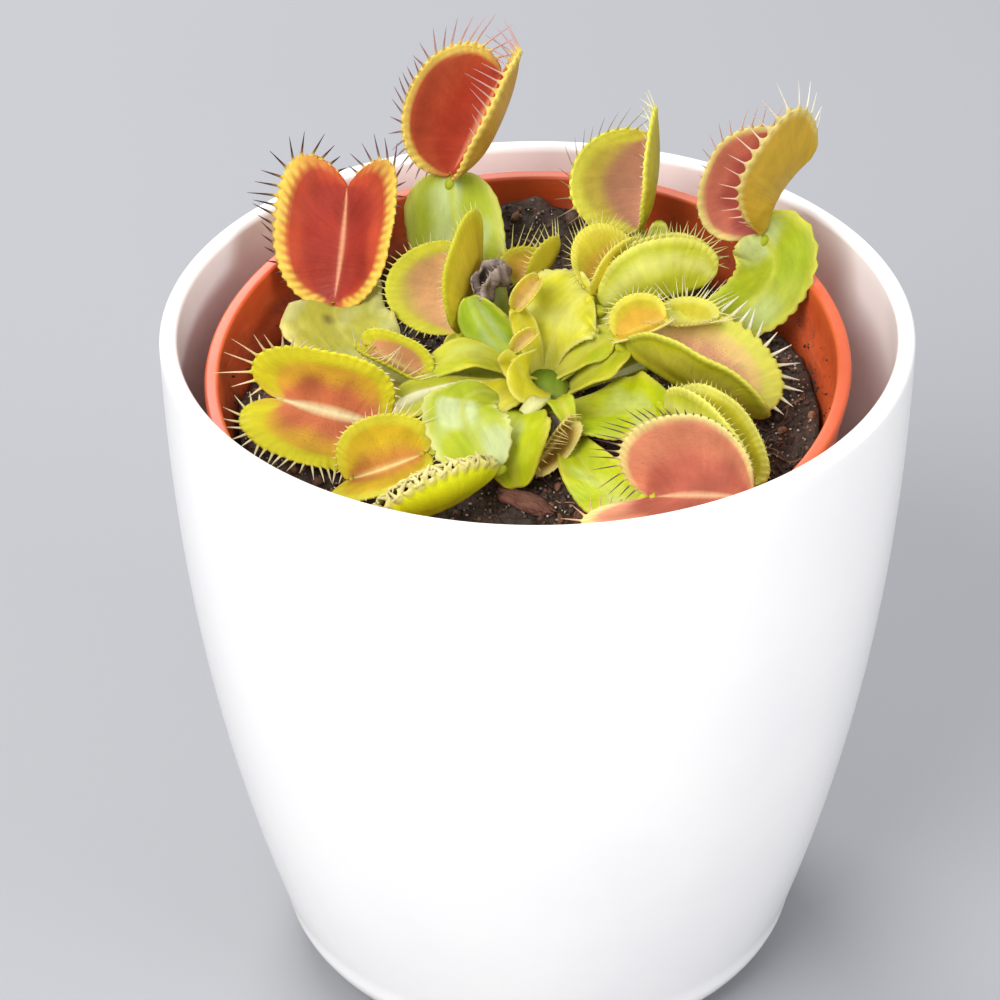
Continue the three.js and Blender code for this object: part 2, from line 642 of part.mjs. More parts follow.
function build() {
  const plantPot = new THREE.Group();
  plantPot.add(namedMesh("cachepot", cachepotGeometry(0), "glaze"));

  const nursery = nurseryPlacement();
  plantPot.add(nursery);
  nursery.add(namedMesh("nursery_pot", geometryFrom(drilledNursery()), "terracotta"));

  const inPlace = (geometry) => solidFrom(geometry.applyMatrix4(nursery.matrixWorld));
  let taken = solidFrom(cachepotGeometry(CLEARANCE)).add(inPlace(nurseryGeometry(CLEARANCE)));

  const rhizomeRoom = solidFrom(rhizomeGeometry(CLEARANCE));
  const bark = barkGeometry(0);
  const barkRoom = solidFrom(barkGeometry(CLEARANCE));
  const soil = inPlace(soilGeometry(0)).subtract(rhizomeRoom).subtract(barkRoom);
  plantPot.add(namedMesh("soil", geometryFrom(largestPiece(soil)), "peat"));
  plantPot.add(namedMesh("rhizome", rhizomeGeometry(0), "rhizome"));
  plantPot.add(namedMesh("bark_chip", bark, "bark"));
  taken = taken.add(inPlace(soilGeometry(CLEARANCE))).add(rhizomeRoom).add(barkRoom);

  for (const leaf of LEAVES) {
    const free = largestPiece(leafSolid(leaf, 0).subtract(taken));
    plantPot.add(namedMesh(leaf.name, geometryFrom(free), leaf.look ?? "leaf"));
    taken = taken.add(leafSolid(leaf, CLEARANCE));
  }
  return plantPot;
}

export default build();
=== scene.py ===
"""A Venus flytrap in an orange nursery pot, standing askew inside a white glazed cachepot.

Sizes are in millimetres, as in the CAD part, and become metres where a mesh is made.
+Z is up, the front is at -Y, and the origin is the middle of the cachepot's foot.
"""
import math
from collections import namedtuple
from types import SimpleNamespace as Sizes

import bmesh
import bpy
import numpy as np
from mathutils import Matrix, Vector


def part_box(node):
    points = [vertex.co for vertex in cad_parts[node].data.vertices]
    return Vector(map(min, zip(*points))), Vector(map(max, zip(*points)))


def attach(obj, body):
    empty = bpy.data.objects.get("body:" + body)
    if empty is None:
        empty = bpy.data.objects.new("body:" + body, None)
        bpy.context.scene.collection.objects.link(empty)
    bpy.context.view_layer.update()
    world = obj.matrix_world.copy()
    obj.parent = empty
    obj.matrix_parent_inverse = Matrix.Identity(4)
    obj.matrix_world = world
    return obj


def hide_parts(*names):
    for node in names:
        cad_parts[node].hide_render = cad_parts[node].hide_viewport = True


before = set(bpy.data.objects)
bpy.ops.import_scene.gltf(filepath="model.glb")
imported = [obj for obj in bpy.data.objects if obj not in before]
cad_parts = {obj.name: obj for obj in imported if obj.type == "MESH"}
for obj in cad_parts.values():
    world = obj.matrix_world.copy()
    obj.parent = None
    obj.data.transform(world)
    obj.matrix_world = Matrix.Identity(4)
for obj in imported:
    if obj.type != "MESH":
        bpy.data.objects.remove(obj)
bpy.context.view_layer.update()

MM = 0.001
BODY = "root"
UP = np.array([0.0, 0.0, 1.0])

# ---------------------------------------------------------------- measures shared with the CAD part

CACHEPOT = Sizes(rim=52.5, height=105, taper=0.3, power=2.15, wall=2.5, lip=1.25, floor=7, corner=6,
                 foot=29.5, foot_round=8, recess=22, recess_depth=2, recess_slope=2, around=192)
NURSERY = Sizes(rim=45, bottom=30, height=89.7, wall=1, lip=1.5, collar=8, collar_step=0.8, edge=0.5,
                drains=4, drain=3.5, drain_ring=18, drill_depth=6, around=176,
                rim_centre=(-1.4, -3.2, 100), lean=(-0.029, -0.125, 1))
# Each mound in the soil: x, y, height, spread.
SOIL = Sizes(level=77, below_rim=1.5, gap=0.4, bottom=1.5, rings=84, around=216,
             crumbs=1300, fines=5600, fibres=170, grit=1500, wall_crumbs=150,
             mounds=[(0, 41, 10, 8), (-38, -4, 6, 9), (-30, 26, 3, 10), (38, 6, 2, 10), (1, 3, 1.5, 12),
                     (18, 34, 3, 7)])
RHIZOME = Sizes(centre=(1, 3, 88.5), radius=4.4, half_height=5.5, root_depth=0.6, rings=40, around=60)
BARK = Sizes(centre=(-1.5, -19.5, 87.2), length=8, width=3.4, thick=1.8, turn=25, tilt=8, rings=46, around=30)
BLADE = Sizes(stalk=1.2, narrows=0.4, thinnest=0.45, stalk_share=0.7, rise=1.7, fall=0.6, faces_by=0.625,
              rows=64, half_columns=12, thick=0.42)
LOBE_SWEEP = 1.3
# A trap longer than LARGE_TRAP has the fine grid: rows along its midrib, columns out to each margin.
LARGE_TRAP, FINE_GRID, COARSE_GRID = 9.5, (132, 18), (76, 11)
TOOTH_RINGS = np.array([-0.1, 0.0, 0.1, 0.22, 0.45, 0.72, 0.9, 1.0])
TOOTH_SIDES = 6

# ---------------------------------------------------------------- colours

# A trap's colours run from its midrib to its margin on the inside: rib, heart, fringe, rim.
# heart_end says how far out the heart reaches, rim_wide and rib_wide are widths in millimetres, flush is
# how densely the red glands dot the inside, stripes how strongly the rim is barred between the teeth,
# bare_ends the share of the far end where the rim fades out, and the last one how strong a painted
# highlight is: a pale band laid on the outside's bulge.
TrapLook = namedtuple(
    "TrapLook", "rib heart fringe rim outside heart_end rim_wide rib_wide flush stripes bare_ends sheen",
    defaults=(0.14, 0))
TRAP_LOOKS = {
    "brick_wide": TrapLook("#f6b184", "#a83a2c", "#be4a2e", "#f3d058", "#cbaa34", 0.5, 1.6, 0.5, 0.7, 0.65,
        bare_ends=0.42),
    "brick_tall": TrapLook("#e0955e", "#bc4a32", "#cc6040", "#f4dc6c", "#c29e3c", 0.35, 1.1, 0.42, 0.4, 0.1),
    "mauve": TrapLook("#c4a06a", "#c48e74", "#dac85a", "#ece85a", "#c6bc26", 0.35, 3.2, 0.5, 0.3, 0.05),
    "gold": TrapLook("#c98070", "#ac5146", "#c4705a", "#e3cf7c", "#d0b02e", 0.6, 0.6, 0.5, 0.6, 0.25),
    "salmon": TrapLook("#f8f0bc", "#cf7850", "#dcae3c", "#d9d22e", "#cbc828", 0.32, 2.4, 0.8, 0.8, 0.1),
    "salmon_deep": TrapLook("#f0c492", "#c4705c", "#da8e6e", "#ecdc8e", "#d2cc34", 0.4, 0.8, 0.5, 0.5, 0.3),
    "bristle": TrapLook("#d6cf60", "#e2a880", "#e2c478", "#d9d858", "#c4c41a", 0.45, 2.6, 0.5, 1, 0.05,
        sheen=0.15),
    "peach": TrapLook("#cdb768", "#d9a56e", "#cfbf52", "#d4d038", "#ccb828", 0.62, 2.2, 0.5, 0.5, 0.05),
    "striped": TrapLook("#cdb768", "#cd9464", "#cfb04a", "#d0cc30", "#ccc22a", 0.6, 1.2, 0.5, 0.5, 0.05),
    "orange": TrapLook("#f4e49c", "#d09048", "#d6b62e", "#d6ce38", "#cec62c", 0.14, 1.5, 0.5, 0.6, 0.1),
    "amber": TrapLook("#cfb45a", "#cfa044", "#c8aa38", "#cfc63c", "#c2b42c", 0.5, 0.9, 0.4, 0.4, 0.1),
    "lime": TrapLook("#dcd66a", "#dccf44", "#d8d03a", "#e2de68", "#bcc224", 0.4, 0.8, 0.4, 0.2, 0.05,
        sheen=0.6),
    "yellow": TrapLook("#dcc848", "#dab040", "#d6c838", "#e6de58", "#e2cc24", 0.45, 0.8, 0.4, 0.3, 0.05),
    "blush": TrapLook("#ecd468", "#f6d890", "#ead04c", "#e6da58", "#dccf34", 0.3, 0.5, 0.3, 0.05, 0),
    # The closed trap's dark olive inside is painted shade, for the shadow within its shut mouth.
    "cream": TrapLook("#8d8440", "#5d4f22", "#7a6c30", "#e2d88c", "#f2fb1e", 0.5, 0.7, 0.4, 0.3, 0.4),
    "tan": TrapLook("#cfb45a", "#a07a30", "#c0a040", "#dccb76", "#cfbe44", 0.5, 0.7, 0.4, 0.4, 0.3),
    "dead": TrapLook("#75665e", "#5d504a", "#6b5d56", "#8a7a70", "#74655d", 0.5, 0.5, 0.4, 0, 0),
}
# A petiole blade's colours: its face, its keel along the middle, its thin edge and its back.
# Next is how strong the pale patches of painted highlight on its face are, and green how much greener its
# patches get.
BladeLook = namedtuple("BladeLook", "face keel edge back frost green", defaults=(0,))
BLADE_LOOKS = {
    "lime": BladeLook("#cfd02e", "#d2cf48", "#dad44c", "#c6c434", 0.3, 0.35),
    "gilt": BladeLook("#b6c22c", "#ccd04c", "#d8d858", "#bcc42a", 0.6, 0.3),
    "bright": BladeLook("#c6d014", "#c8cd38", "#d6d242", "#bcc42a", 0.4, 0.35),
    "fresh": BladeLook("#adc42a", "#bccb40", "#c9d04e", "#a8bf2c", 0.5, 0.5),
    "leafy": BladeLook("#bcca34", "#c8d04c", "#d8da68", "#bcc444", 0.8, 0.35),
    "pale": BladeLook("#beba48", "#c8c45a", "#e0d87c", "#c8c256", 0.3),
    # This look carries the strongest painted highlight.
    "highlit": BladeLook("#b6c02e", "#c2ca50", "#d8da80", "#c4c850", 0.85, 0.3),
    "pale_lime": BladeLook("#e6e23e", "#e8e45c", "#f0ec8c", "#dad448", 0.35, 0.2),
    "cream_keel": BladeLook("#c9c838", "#fffad0", "#d8d45c", "#c6c43a", 0.3, 0.3),
    "yellow": BladeLook("#e0d634", "#dcd44c", "#e4dc64", "#d0c838", 0.1),
    "dead": BladeLook("#63564f", "#75675f", "#85766c", "#675a53", 0),
    "stalk": BladeLook("#dcda90", "#e6e4a8", "#dcda90", "#d2d084", 0),
}
MAROON, PLUM, MAUVE_PINK, ROSE = "#55302f", "#6b4450", "#a2808a", "#cfa3a2"
GREYED, CREAM, CHALK, STRAW = "#a79c88", "#ece6bc", "#f4f1de", "#dcd78e"

# ---------------------------------------------------------------- the leaves

# Directions are (azimuth, elevation) in degrees: azimuth 0 is right, 90 back, 180 left and 270 front.
# root is (azimuth around the rhizome, height), via a point the petiole passes, hinge where it ends and face
# the way its blade faces. half is half its width, peak where it is widest, ears how far its shoulders reach
# past the hinge, wings how steeply its two halves rise. ruffle waves its edges and fray notches them, crease
# and shrivel pucker its face, keel thickens its middle, and spot puts a brown mark near its end.
Leaf = namedtuple(
    "Leaf", "root via hinge face half blade trap peak ears wings ruffle fray crease keel shrivel spot",
    defaults=(None, 0.6, 0, (15, 15), 0.08, 0.025, 0, 0.55, 0, False))
# A trap's tip is the way its midrib runs, opens the way its mouth faces, gape half the angle between the
# lobes at mid height, cup how far a lobe curls, toe and heel how far out its outline is widest at the far end
# and at the petiole, skew how far it leans to the far end, sag how far the midrib bows back, and square,
# below 1, boxes the margin. A pair is for the two lobes: the left one, with the midrib pointing up and the
# mouth to the viewer, is first. left and right are their teeth. Without right, both have the left's.
Trap = namedtuple("Trap", "tip opens length lobe gape cup look left right toe heel skew sag square",
                  defaults=(None, 0.3, 0.22, 0, 0.05, 1))
Teeth = namedtuple("Teeth", "gap lean slant thick tints lengths")


def teeth(gap, lean, slant, thick, tint, *lengths):
    """One lobe's teeth: the gap between them, how far they lean towards the mouth and slant towards the
    far end, their thickness, colour (a pair runs from the petiole to the far end), and lengths at even
    steps along the margin."""
    return Teeth(gap, lean, slant, thick, tint if isinstance(tint, tuple) else (tint, tint), lengths)


LEAVES = {
    "leaf_red_tall": Leaf((115, 91), (-9, 18, 96), (-12.4, 27, 112.6), (265, 30), 7.2, "leafy", peak=0.85,
        ears=0.4, ruffle=0.12,
        trap=Trap((47, 49), (240, 22), 16.5, 13, (32, 26), (55, 80), "brick_tall", toe=(0.36, 0.4), heel=0.3,
            skew=(0, 0.12),
            left=teeth(1.35, 0.2, 0.2, 0.4, (MAUVE_PINK, ROSE), 0, 2.4, 3.6, 4.6, 4.6, 5, 5, 4.2),
            right=teeth(1.5, 0.9, 0.35, 0.34, ROSE, 0, 0, 0, 2.8, 4.4, 4.8, 4.6, 3.8))),
    "leaf_red_wide": Leaf((150, 89.5), (-22, 5, 94.5), (-29.3, 16, 97.5), (262, 68), 8, "pale", peak=0.86,
        ears=0.6, ruffle=0.12, crease=0.3, spot=True,
        trap=Trap((75, 62), (252, 25), 17, (9.8, 9.5), (64, 60), 10, "brick_wide", toe=0.38, heel=0.36,
            skew=(0.4, 0.52), square=0.78,
            left=teeth(1.5, 0.25, 0.35, 0.46, MAROON, 0, 0, 1.6, 3, 3.8, 4.2, 3.4, 0),
            right=teeth(1.5, 0.25, 0.35, 0.44, (MAROON, PLUM), 0, 0, 0, 0.4, 1.6, 3.8, 4, 0))),
    "leaf_mauve_back": Leaf((65, 90.5), (10, 17, 94), (14.8, 24, 105), (265, 45), 4, "lime", peak=0.72,
        trap=Trap((75, 62), (236, 25), 14, (12.8, 12.3), (30, 24), (50, 62), "mauve", toe=(0.26, 0.4),
            skew=(-0.06, 0.25),
            left=teeth(1.5, 0.2, 0.5, 0.22, GREYED, 0, 1.5, 4.2, 5.2, 4.2, 2.4, 4.8, 4.4),
            right=teeth(1.4, 0.4, 0.4, 0.26, CREAM, 0, 0.4, 0.5, 0.8, 1.6, 2.4, 3.4, 3.4))),
    "leaf_gold_right": Leaf((35, 90), (29.5, 12, 99), (32, 16, 109), (265, 35), 6.4, "gilt", peak=0.84,
        ears=0.85, wings=(28, 12), fray=0.1,
        trap=Trap((28, 54), (203, 5), 14, (10.5, 11.3), (29, 23), 45, "gold", toe=(0.3, 0.44),
            heel=(0.42, 0.16), skew=(-0.08, 0.27), square=(1, 0.72), sag=-0.12,
            left=teeth(1.5, 0.2, 0.3, 0.24, "#dcb0a6", 0, 0.5, 0.5, 0.8, 2.8, 3.6, 3.4, 2.6),
            right=teeth(1.9, 0.45, 0.2, 0.3, ("#e6bfae", CHALK), 0, 1.6, 3, 3.4, 3.4, 4.2, 4.6, 4.2))),
    "leaf_salmon_left": Leaf((190, 92), (-15, -2.5, 94.2), (-21.5, -6, 91), (265, 65), 2.8, "cream_keel",
        wings=(10, 10), keel=1.3,
        trap=Trap((180, 17), (268, 36), 15.5, 9.5, 52, 20, "salmon", toe=0.45, heel=0.25, square=0.8,
            left=teeth(1.25, 0.1, 0.15, 0.42, CREAM, 0, 1.6, 2.4, 3, 2.8, 2.6, 2.8, 0),
            right=teeth(1.35, 0.3, -0.25, 0.4, "#ecd4b4", 0, 1.2, 0.8, 0.6, 0.8, 3.6, 6, 0))),
    "leaf_bristle_right": Leaf((0, 90), (9, 2, 96), (13, 2, 99), (250, 60), 3, "lime",
        trap=Trap((339, -21), (75, 78), 20, 11.5, 40, 25, "bristle", toe=0.35,
            left=teeth(1.8, 0.2, 0.1, 0.6, CHALK, 1.2, 2.4, 2.9, 3.3, 3.3, 3.2, 2.8, 2.2),
            right=teeth(1.1, 0.3, 0, 0.16, STRAW, 0, 0.4, 0.5, 0.6, 0.6, 0.5, 0.4, 0))),
    "leaf_salmon_front": Leaf((300, 90.5), (8, -20, 91.5), (15, -30, 95), (262, 60), 5.2, "bright", peak=0.75,
        ears=0.3,
        trap=Trap((347, 8), (265, 50), 14, (12.4, 11), (40, 46), 30, "salmon_deep", toe=0.22,
            heel=(0.42, 0.46), skew=(0, -0.25), sag=-0.08,
            left=teeth(1.05, 0.2, -0.1, 0.3, PLUM, 1.5, 3.8, 4.6, 2.8, 0.7, 0.5, 0.4, 0),
            right=teeth(1.35, -0.1, -0.6, 0.4, "#dfb08c", 0, 3.2, 3.4, 1.2, 0.6, 0.5, 0.5, 0))),
    "leaf_green_front": Leaf((325, 89.5), (10.8, -5.5, 92.8), (18, -11, 97.2), (262, 66), 6.6, "bright",
        peak=0.44,
        trap=Trap((308, -15), (40, 75), 17, 8.2, 14, 70, "lime", toe=0.35,
            left=teeth(1, 0.3, 0.1, 0.26, STRAW, 0.4, 0.8, 1, 1, 0.9, 0.7, 0.5))),
    "leaf_lime_wide": Leaf((50, 92), (8, 7, 97), (9.5, 9, 101.5), (265, 60), 2.5, "lime",
        trap=Trap((15, 8), (90, 75), 16.2, 8.7, 5, 58, "lime",
            left=teeth(1.05, 0.3, 0.2, 0.24, STRAW, 0.5, 1.6, 2, 2, 1.8, 2.4, 2.6, 1.8),
            right=teeth(1.05, 0.3, 0.2, 0.24, STRAW, 0.4, 0.9, 1.2, 1.4, 1.6, 2.2, 2.6, 1.8))),
    "leaf_peach_left": Leaf((135, 92.5), (-8, 8, 92), (-11.4, 9, 97), (250, 50), 3.2, "lime", peak=0.72,
        trap=Trap((62, 55), (200, 28), 12, (12.2, 9.5), (32, 30), 35, "peach", toe=(0.3, 0.44),
            heel=(0.3, 0.2), skew=(-0.1, 0.34),
            left=teeth(0.95, 0.2, 0.1, 0.24, STRAW, 0, 1, 1.2, 1.3, 1.4, 1.5, 1.4, 1),
            right=teeth(0.95, 0.3, 0.1, 0.24, STRAW, 0, 0.8, 1, 1.2, 1.4, 1.4, 1, 0.6))),
    "leaf_closed_front": Leaf((245, 91), (-10, -9, 97.2), (-6, -20, 93), (250, 55), 6, "highlit",
        wings=(-10, 10), peak=0.8, ears=0.3, ruffle=0.14, fray=0.12,
        trap=Trap((209, -7), (299, 82), 17.5, 7.2, (8, 2), 90, "cream", sag=0.14,
            left=teeth(1.7, 1.3, 0, 1.1, "#e6dc9e", 0.8, 1.5, 1.9, 2.1, 2.1, 1.9, 1.4, 0.8),
            right=teeth(1.7, 1.3, 0, 0.9, "#e6dc9e", 0.4, 0.9, 1.1, 1.2, 1.2, 1, 0.7, 0.4))),
    "leaf_orange_left": Leaf((215, 89.5), (-9, -6, 94), (-15.2, -14.8, 92.2), (260, 60), 2.6, "lime",
        peak=0.65,
        trap=Trap((192, -15), (262, 55), 11.6, (8, 7.8), 42, 15, "orange", toe=(0.42, 0.22), heel=(0.3, 0.38),
            skew=(0.1, 0.1),
            left=teeth(1.1, 0.2, 0.1, 0.28, CREAM, 0.5, 0.8, 0.9, 0.9, 0.9, 0.8, 0.6),
            right=teeth(0.95, 0.2, -0.1, 0.24, CREAM, 1.8, 3.2, 3.2, 1.6, 0.8, 0.7, 0.6))),
    "leaf_lime_small": Leaf((70, 93), (3.5, 8, 100), (7.7, 9.5, 103), (258, 45), 6.5, "pale_lime", peak=0.62,
        ears=0.2, ruffle=0.12, fray=0.08, crease=0.35,
        trap=Trap((45, 12), (120, 76), 10, (8.4, 6.6), (24, 22), (30, 40), "yellow",
            left=teeth(0.75, 0.3, 0.1, 0.2, STRAW, 1.2, 2, 2.2, 2.2, 2, 1.8, 1.2),
            right=teeth(0.75, 0.3, 0.1, 0.2, STRAW, 0.6, 1, 1.2, 1.2, 1.2, 1, 0.8))),
    "leaf_amber_small": Leaf((100, 93), (-2, 10, 96), (-1, 13, 101.6), (265, 50), 2.2, "lime",
        trap=Trap((30, 45), (205, 35), 5.6, (6.4, 7.6), (32, 28), 40, "amber", toe=(0.3, 0.44),
            skew=(-0.2, 0.3),
            left=teeth(0.85, 0.2, 0.2, 0.2, STRAW, 0.6, 1.6, 2.6, 3.6, 3.8, 3.6, 3),
            right=teeth(0.85, 0.5, 0.2, 0.2, STRAW, 0.4, 0.6, 0.8, 1.6, 2.6, 3.4, 2.8))),
    "leaf_striped_left": Leaf((170, 91.5), (-9, 3, 97), (-15.8, 1, 94.5), (255, 60), 2.4, "lime",
        trap=Trap((162, 22), (258, 56), 9.8, (3.6, 4.2), (26, 44), (40, 20), "striped", toe=0.36,
            skew=(0, -0.2),
            left=teeth(0.95, 1, -0.5, 0.26, CREAM, 1.8, 3, 3.8, 4, 3.6, 2.4),
            right=teeth(0.95, 0.4, 0.1, 0.2, CREAM, 0.6, 0.8, 0.8, 0.8, 0.6, 0.4))),
    "leaf_young_right": Leaf((20, 93), (8, 4, 97.5), (11, 3, 100), (255, 50), 2.4, "lime",
        trap=Trap((8, 18), (265, 65), 7.5, 5, 40, 30, "yellow",
            left=teeth(0.75, 0.3, 0.1, 0.22, CREAM, 0.8, 1.4, 1.6, 1.6, 1.4, 0.8))),
    "leaf_young_behind": Leaf((25, 92.5), (12, 5.5, 99), (16.9, 6, 100.4), (255, 50), 1.8, "lime",
        trap=Trap((0, 3), (270, 70), 8.4, 3.6, 38, 30, "lime",
            left=teeth(0.65, 0.3, 0.1, 0.2, CREAM, 1.8, 3, 3.6, 3.8, 3.6, 2.6))),
    "leaf_hanging_front": Leaf((280, 89), (3, -5, 94.5), (4.5, -10, 93.8), (270, 60), 1.6, "lime",
        trap=Trap((224, -31), (285, 52), 8.2, (3.2, 3.2), (50, 6), (40, 60), "tan", heel=0.36,
            left=teeth(0.8, 0.3, 0, 0.16, CREAM, 0.3, 0.4, 0.5, 0.5, 0.4, 0.3),
            right=teeth(0.78, 1.1, -0.2, 0.24, "#e2d28a", 0.8, 1.8, 2.3, 2.4, 2.1, 1.2))),
    "leaf_folded_front": Leaf((260, 89), (-3.2, -12, 95), (-2.7, -18, 88.5), (268, 55), 5.4, "bright",
        wings=(25, -5), ruffle=0.16),
    "leaf_frosty_middle": Leaf((145, 93), (-6, 6, 98), (-9.5, 8, 103.5), (245, 35), 3.4, "fresh", peak=0.66),
    "leaf_heart_middle": Leaf((170, 93), (-3, 1, 96.5), (-3.2, 1, 98.8), (250, 35), 2, "yellow",
        trap=Trap((20, 35), (262, 30), 4, 2.6, (34, 10), 50, "blush",
            left=teeth(0.6, 0.3, 0, 0.14, STRAW, 0.2, 0.4, 0.4, 0.3))),
    "leaf_bud_middle": Leaf((120, 93), (-1.5, 6, 99), (-3, 5.8, 102.8), (262, 30), 1.6, "yellow",
        trap=Trap((35, 42), (262, 20), 5.4, 3.6, (30, 12), 55, "blush",
            left=teeth(0.6, 0.3, 0, 0.14, STRAW, 0.2, 0.4, 0.5, 0.4))),
    "leaf_cupped_front": Leaf((275, 92), (-1, -1.5, 95.5), (-3, -2.4, 99.5), (262, 66), 4.4, "yellow",
        wings=(6, 6)),
    "leaf_yellow_left": Leaf((225, 92), (-5, -3.5, 94.5), (-8.5, -7.5, 92.4), (262, 65), 3.2, "yellow"),
    "leaf_bud_back": Leaf((60, 92), (14, 16, 96), (17.5, 19, 109), (262, 40), 1.8, "bright", peak=0.86),
    "leaf_dead_back": Leaf((130, 90), (-6, 10, 97), (-7.4, 9.5, 101.8), (262, 40), 1.2, "dead", peak=0.5,
        shrivel=0.55,
        trap=Trap((38, 40), (215, 42), 5.6, 4.4, 16, 80, "dead",
            left=teeth(0.9, 0.4, 0, 0.2, "#8a7a70", 0.3, 0.9, 0.7, 0.4))),
    "stalk_pale": Leaf((265, 90), (0.5, -4.5, 94.5), (-1.8, -8, 94.2), (262, 60), 0.8, "stalk", peak=0.5,
        ruffle=0),
    "stalk_dry": Leaf((290, 86.5), (2.5, -5, 92), (2, -8.5, 89.5), (262, 60), 0.6, "dead", peak=0.5,
        ruffle=0),
}
DEAD = ("leaf_dead_back", "stalk_dry")

# ---------------------------------------------------------------- small tools


def heading(azimuth, elevation):
    a, e = math.radians(azimuth), math.radians(elevation)
    return np.array([math.cos(a) * math.cos(e), math.sin(a) * math.cos(e), math.sin(e)])


def unit(vectors):
    return vectors / np.maximum(np.linalg.norm(vectors, axis=-1, keepdims=True), 1e-9)


def square_to(vectors, axis):
    """vectors made perpendicular to axis, with length 1."""
    return unit(vectors - (vectors * axis).sum(-1, keepdims=True) * axis)


def smooth(x, low, high):
    t = np.clip((x - low) / (high - low), 0, 1)
    return t * t * (3 - 2 * t)


def turned(about, degrees):
    return np.array(Matrix.Rotation(math.radians(degrees), 3, about))


def round_angles(count):
    """Even angles around a full turn."""
    return np.arange(count) * 2 * math.pi / count


def linear(colour):
    """A hex sRGB colour as three linear numbers."""
    parts = np.array([int(colour[k:k + 2], 16) / 255 for k in (1, 3, 5)])
    return np.where(parts <= 0.04045, parts / 12.92, ((parts + 0.055) / 1.055) ** 2.4)


def graded(x, stops):
    """Colours at x from (place, colour) stops, eased between them."""
    x = np.asarray(x, float)
    result = np.broadcast_to(linear(stops[0][1]), x.shape + (3,)).copy()
    for (low, _), (high, colour) in zip(stops, stops[1:]):
        result = blend(result, linear(colour), smooth(x, low, high))
    return result


def blend(colours, other, share):
    """colours moved towards another colour by a share from 0 to 1 at each point."""
    share = np.asarray(share)[..., None]
    return colours * (1 - share) + other * share


def waves(points, length, seed):
    """A smooth random field of about -1 to 1 at the points. length is its wavelength in millimetres."""
    random = np.random.default_rng(seed)
    total = np.zeros(points.shape[:-1])
    for _ in range(6):
        way = unit(random.normal(size=3)) * 2 * math.pi / (length * random.uniform(0.6, 1.5))
        total += np.sin(points @ way + random.uniform(0, 2 * math.pi))
    return total / 3


def link(piece):
    bpy.context.scene.collection.objects.link(piece)
    return piece


class Pile:
    """Vertices, faces and attributes collected into one mesh. A face's look is its material's place."""

    def __init__(self):
        self.rows, self.faces, self.looks, self.count = [], [], [], 0

    def add(self, points, faces, tint, grain=None, flush=0.0, look=0, caps=()):
        """Adds points with their quads and any odd faces that close them."""
        points = np.asarray(points, float).reshape(-1, 3)
        size = len(points)
        grain = points if grain is None else grain
        parts = [np.broadcast_to(np.asarray(kind, float).reshape(-1, wide), (size, wide))
                 for kind, wide in ((tint, 3), (grain, 3), (flush, 1))]
        self.rows.append(np.hstack([points, *parts]))
        self.faces += (np.asarray(faces) + self.count).tolist()
        self.faces += [tuple(v + self.count for v in face) for face in caps]
        self.looks += [look] * (len(faces) + len(caps))
        self.count += size

    def object(self, name, materials):
        mesh = bpy.data.meshes.new(name)
        rows = np.concatenate(self.rows)
        mesh.from_pydata((rows[:, :3] * MM).tolist(), [], self.faces)
        opaque = np.hstack([rows[:, 3:6], np.ones((len(rows), 1))])
        for label, kind, key, values in (("tint", "FLOAT_COLOR", "color", opaque),
                                         ("grain", "FLOAT_VECTOR", "vector", rows[:, 6:9]),
                                         ("flush", "FLOAT", "value", rows[:, 9])):
            mesh.attributes.new(label, kind, "POINT").data.foreach_set(key, values.ravel())
        for finish in materials:
            mesh.materials.append(finish)
        mesh.polygons.foreach_set("material_index", self.looks)
        mesh.polygons.foreach_set("use_smooth", [True] * len(self.faces))
        mesh.update()
        return link(bpy.data.objects.new(name, mesh))


def settle(piece, slot, *nodes):
    """Every piece rides on the one body and may stand for CAD nodes, which it hides. slot is not used."""
    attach(piece, BODY)
    if nodes:
        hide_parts(*nodes)


def grid_faces(rows, columns, closed=False):
    """Quads of a grid whose rows may close on themselves."""
    wide = columns if closed else columns - 1
    i, j = np.meshgrid(np.arange(rows - 1), np.arange(wide), indexing="ij")
    after = (j + 1) % columns
    quads = [i * columns + j, i * columns + after, (i + 1) * columns + after, (i + 1) * columns + j]
    return np.stack(quads, axis=-1).reshape(-1, 4)


def closed_rings(rings, first, last, inside_out=False):
    """Points, quads and end fans of rings of points, closed at each end by a fan to a single point."""
    rows, around = rings.shape[:2]
    low, high = rows * around, rows * around + 1
    ends = [((j + 1) % around, j, low) for j in range(around)]
    ends += [(low - around + j, low - around + (j + 1) % around, high) for j in range(around)]
    quads = grid_faces(rows, around, closed=True)
    if inside_out:
        quads, ends = quads[:, ::-1], [face[::-1] for face in ends]
    return np.vstack([rings.reshape(-1, 3), first, last]), quads, ends


def grid_normals(points):
    return unit(np.cross(np.gradient(points, axis=0), np.gradient(points, axis=1)))


def sheet_caps(rows, columns, ring):
    """The faces that close a sheet's first and last rows."""
    caps = []
    for row, turned_over in ((0, True), (rows - 1, False)):
        base = row * ring
        pairs = [(base + j, base + ring - 2 - j) for j in range(columns)]
        strip = [(a, c, d, b) for (a, b), (c, d) in zip(pairs, pairs[1:])]
        strip.append((base + ring - 2, base + ring - 1, base))
        strip.append((base + columns - 1, base + columns, base + columns + 1))
        caps += [face[::-1] for face in strip] if turned_over else strip
    return caps


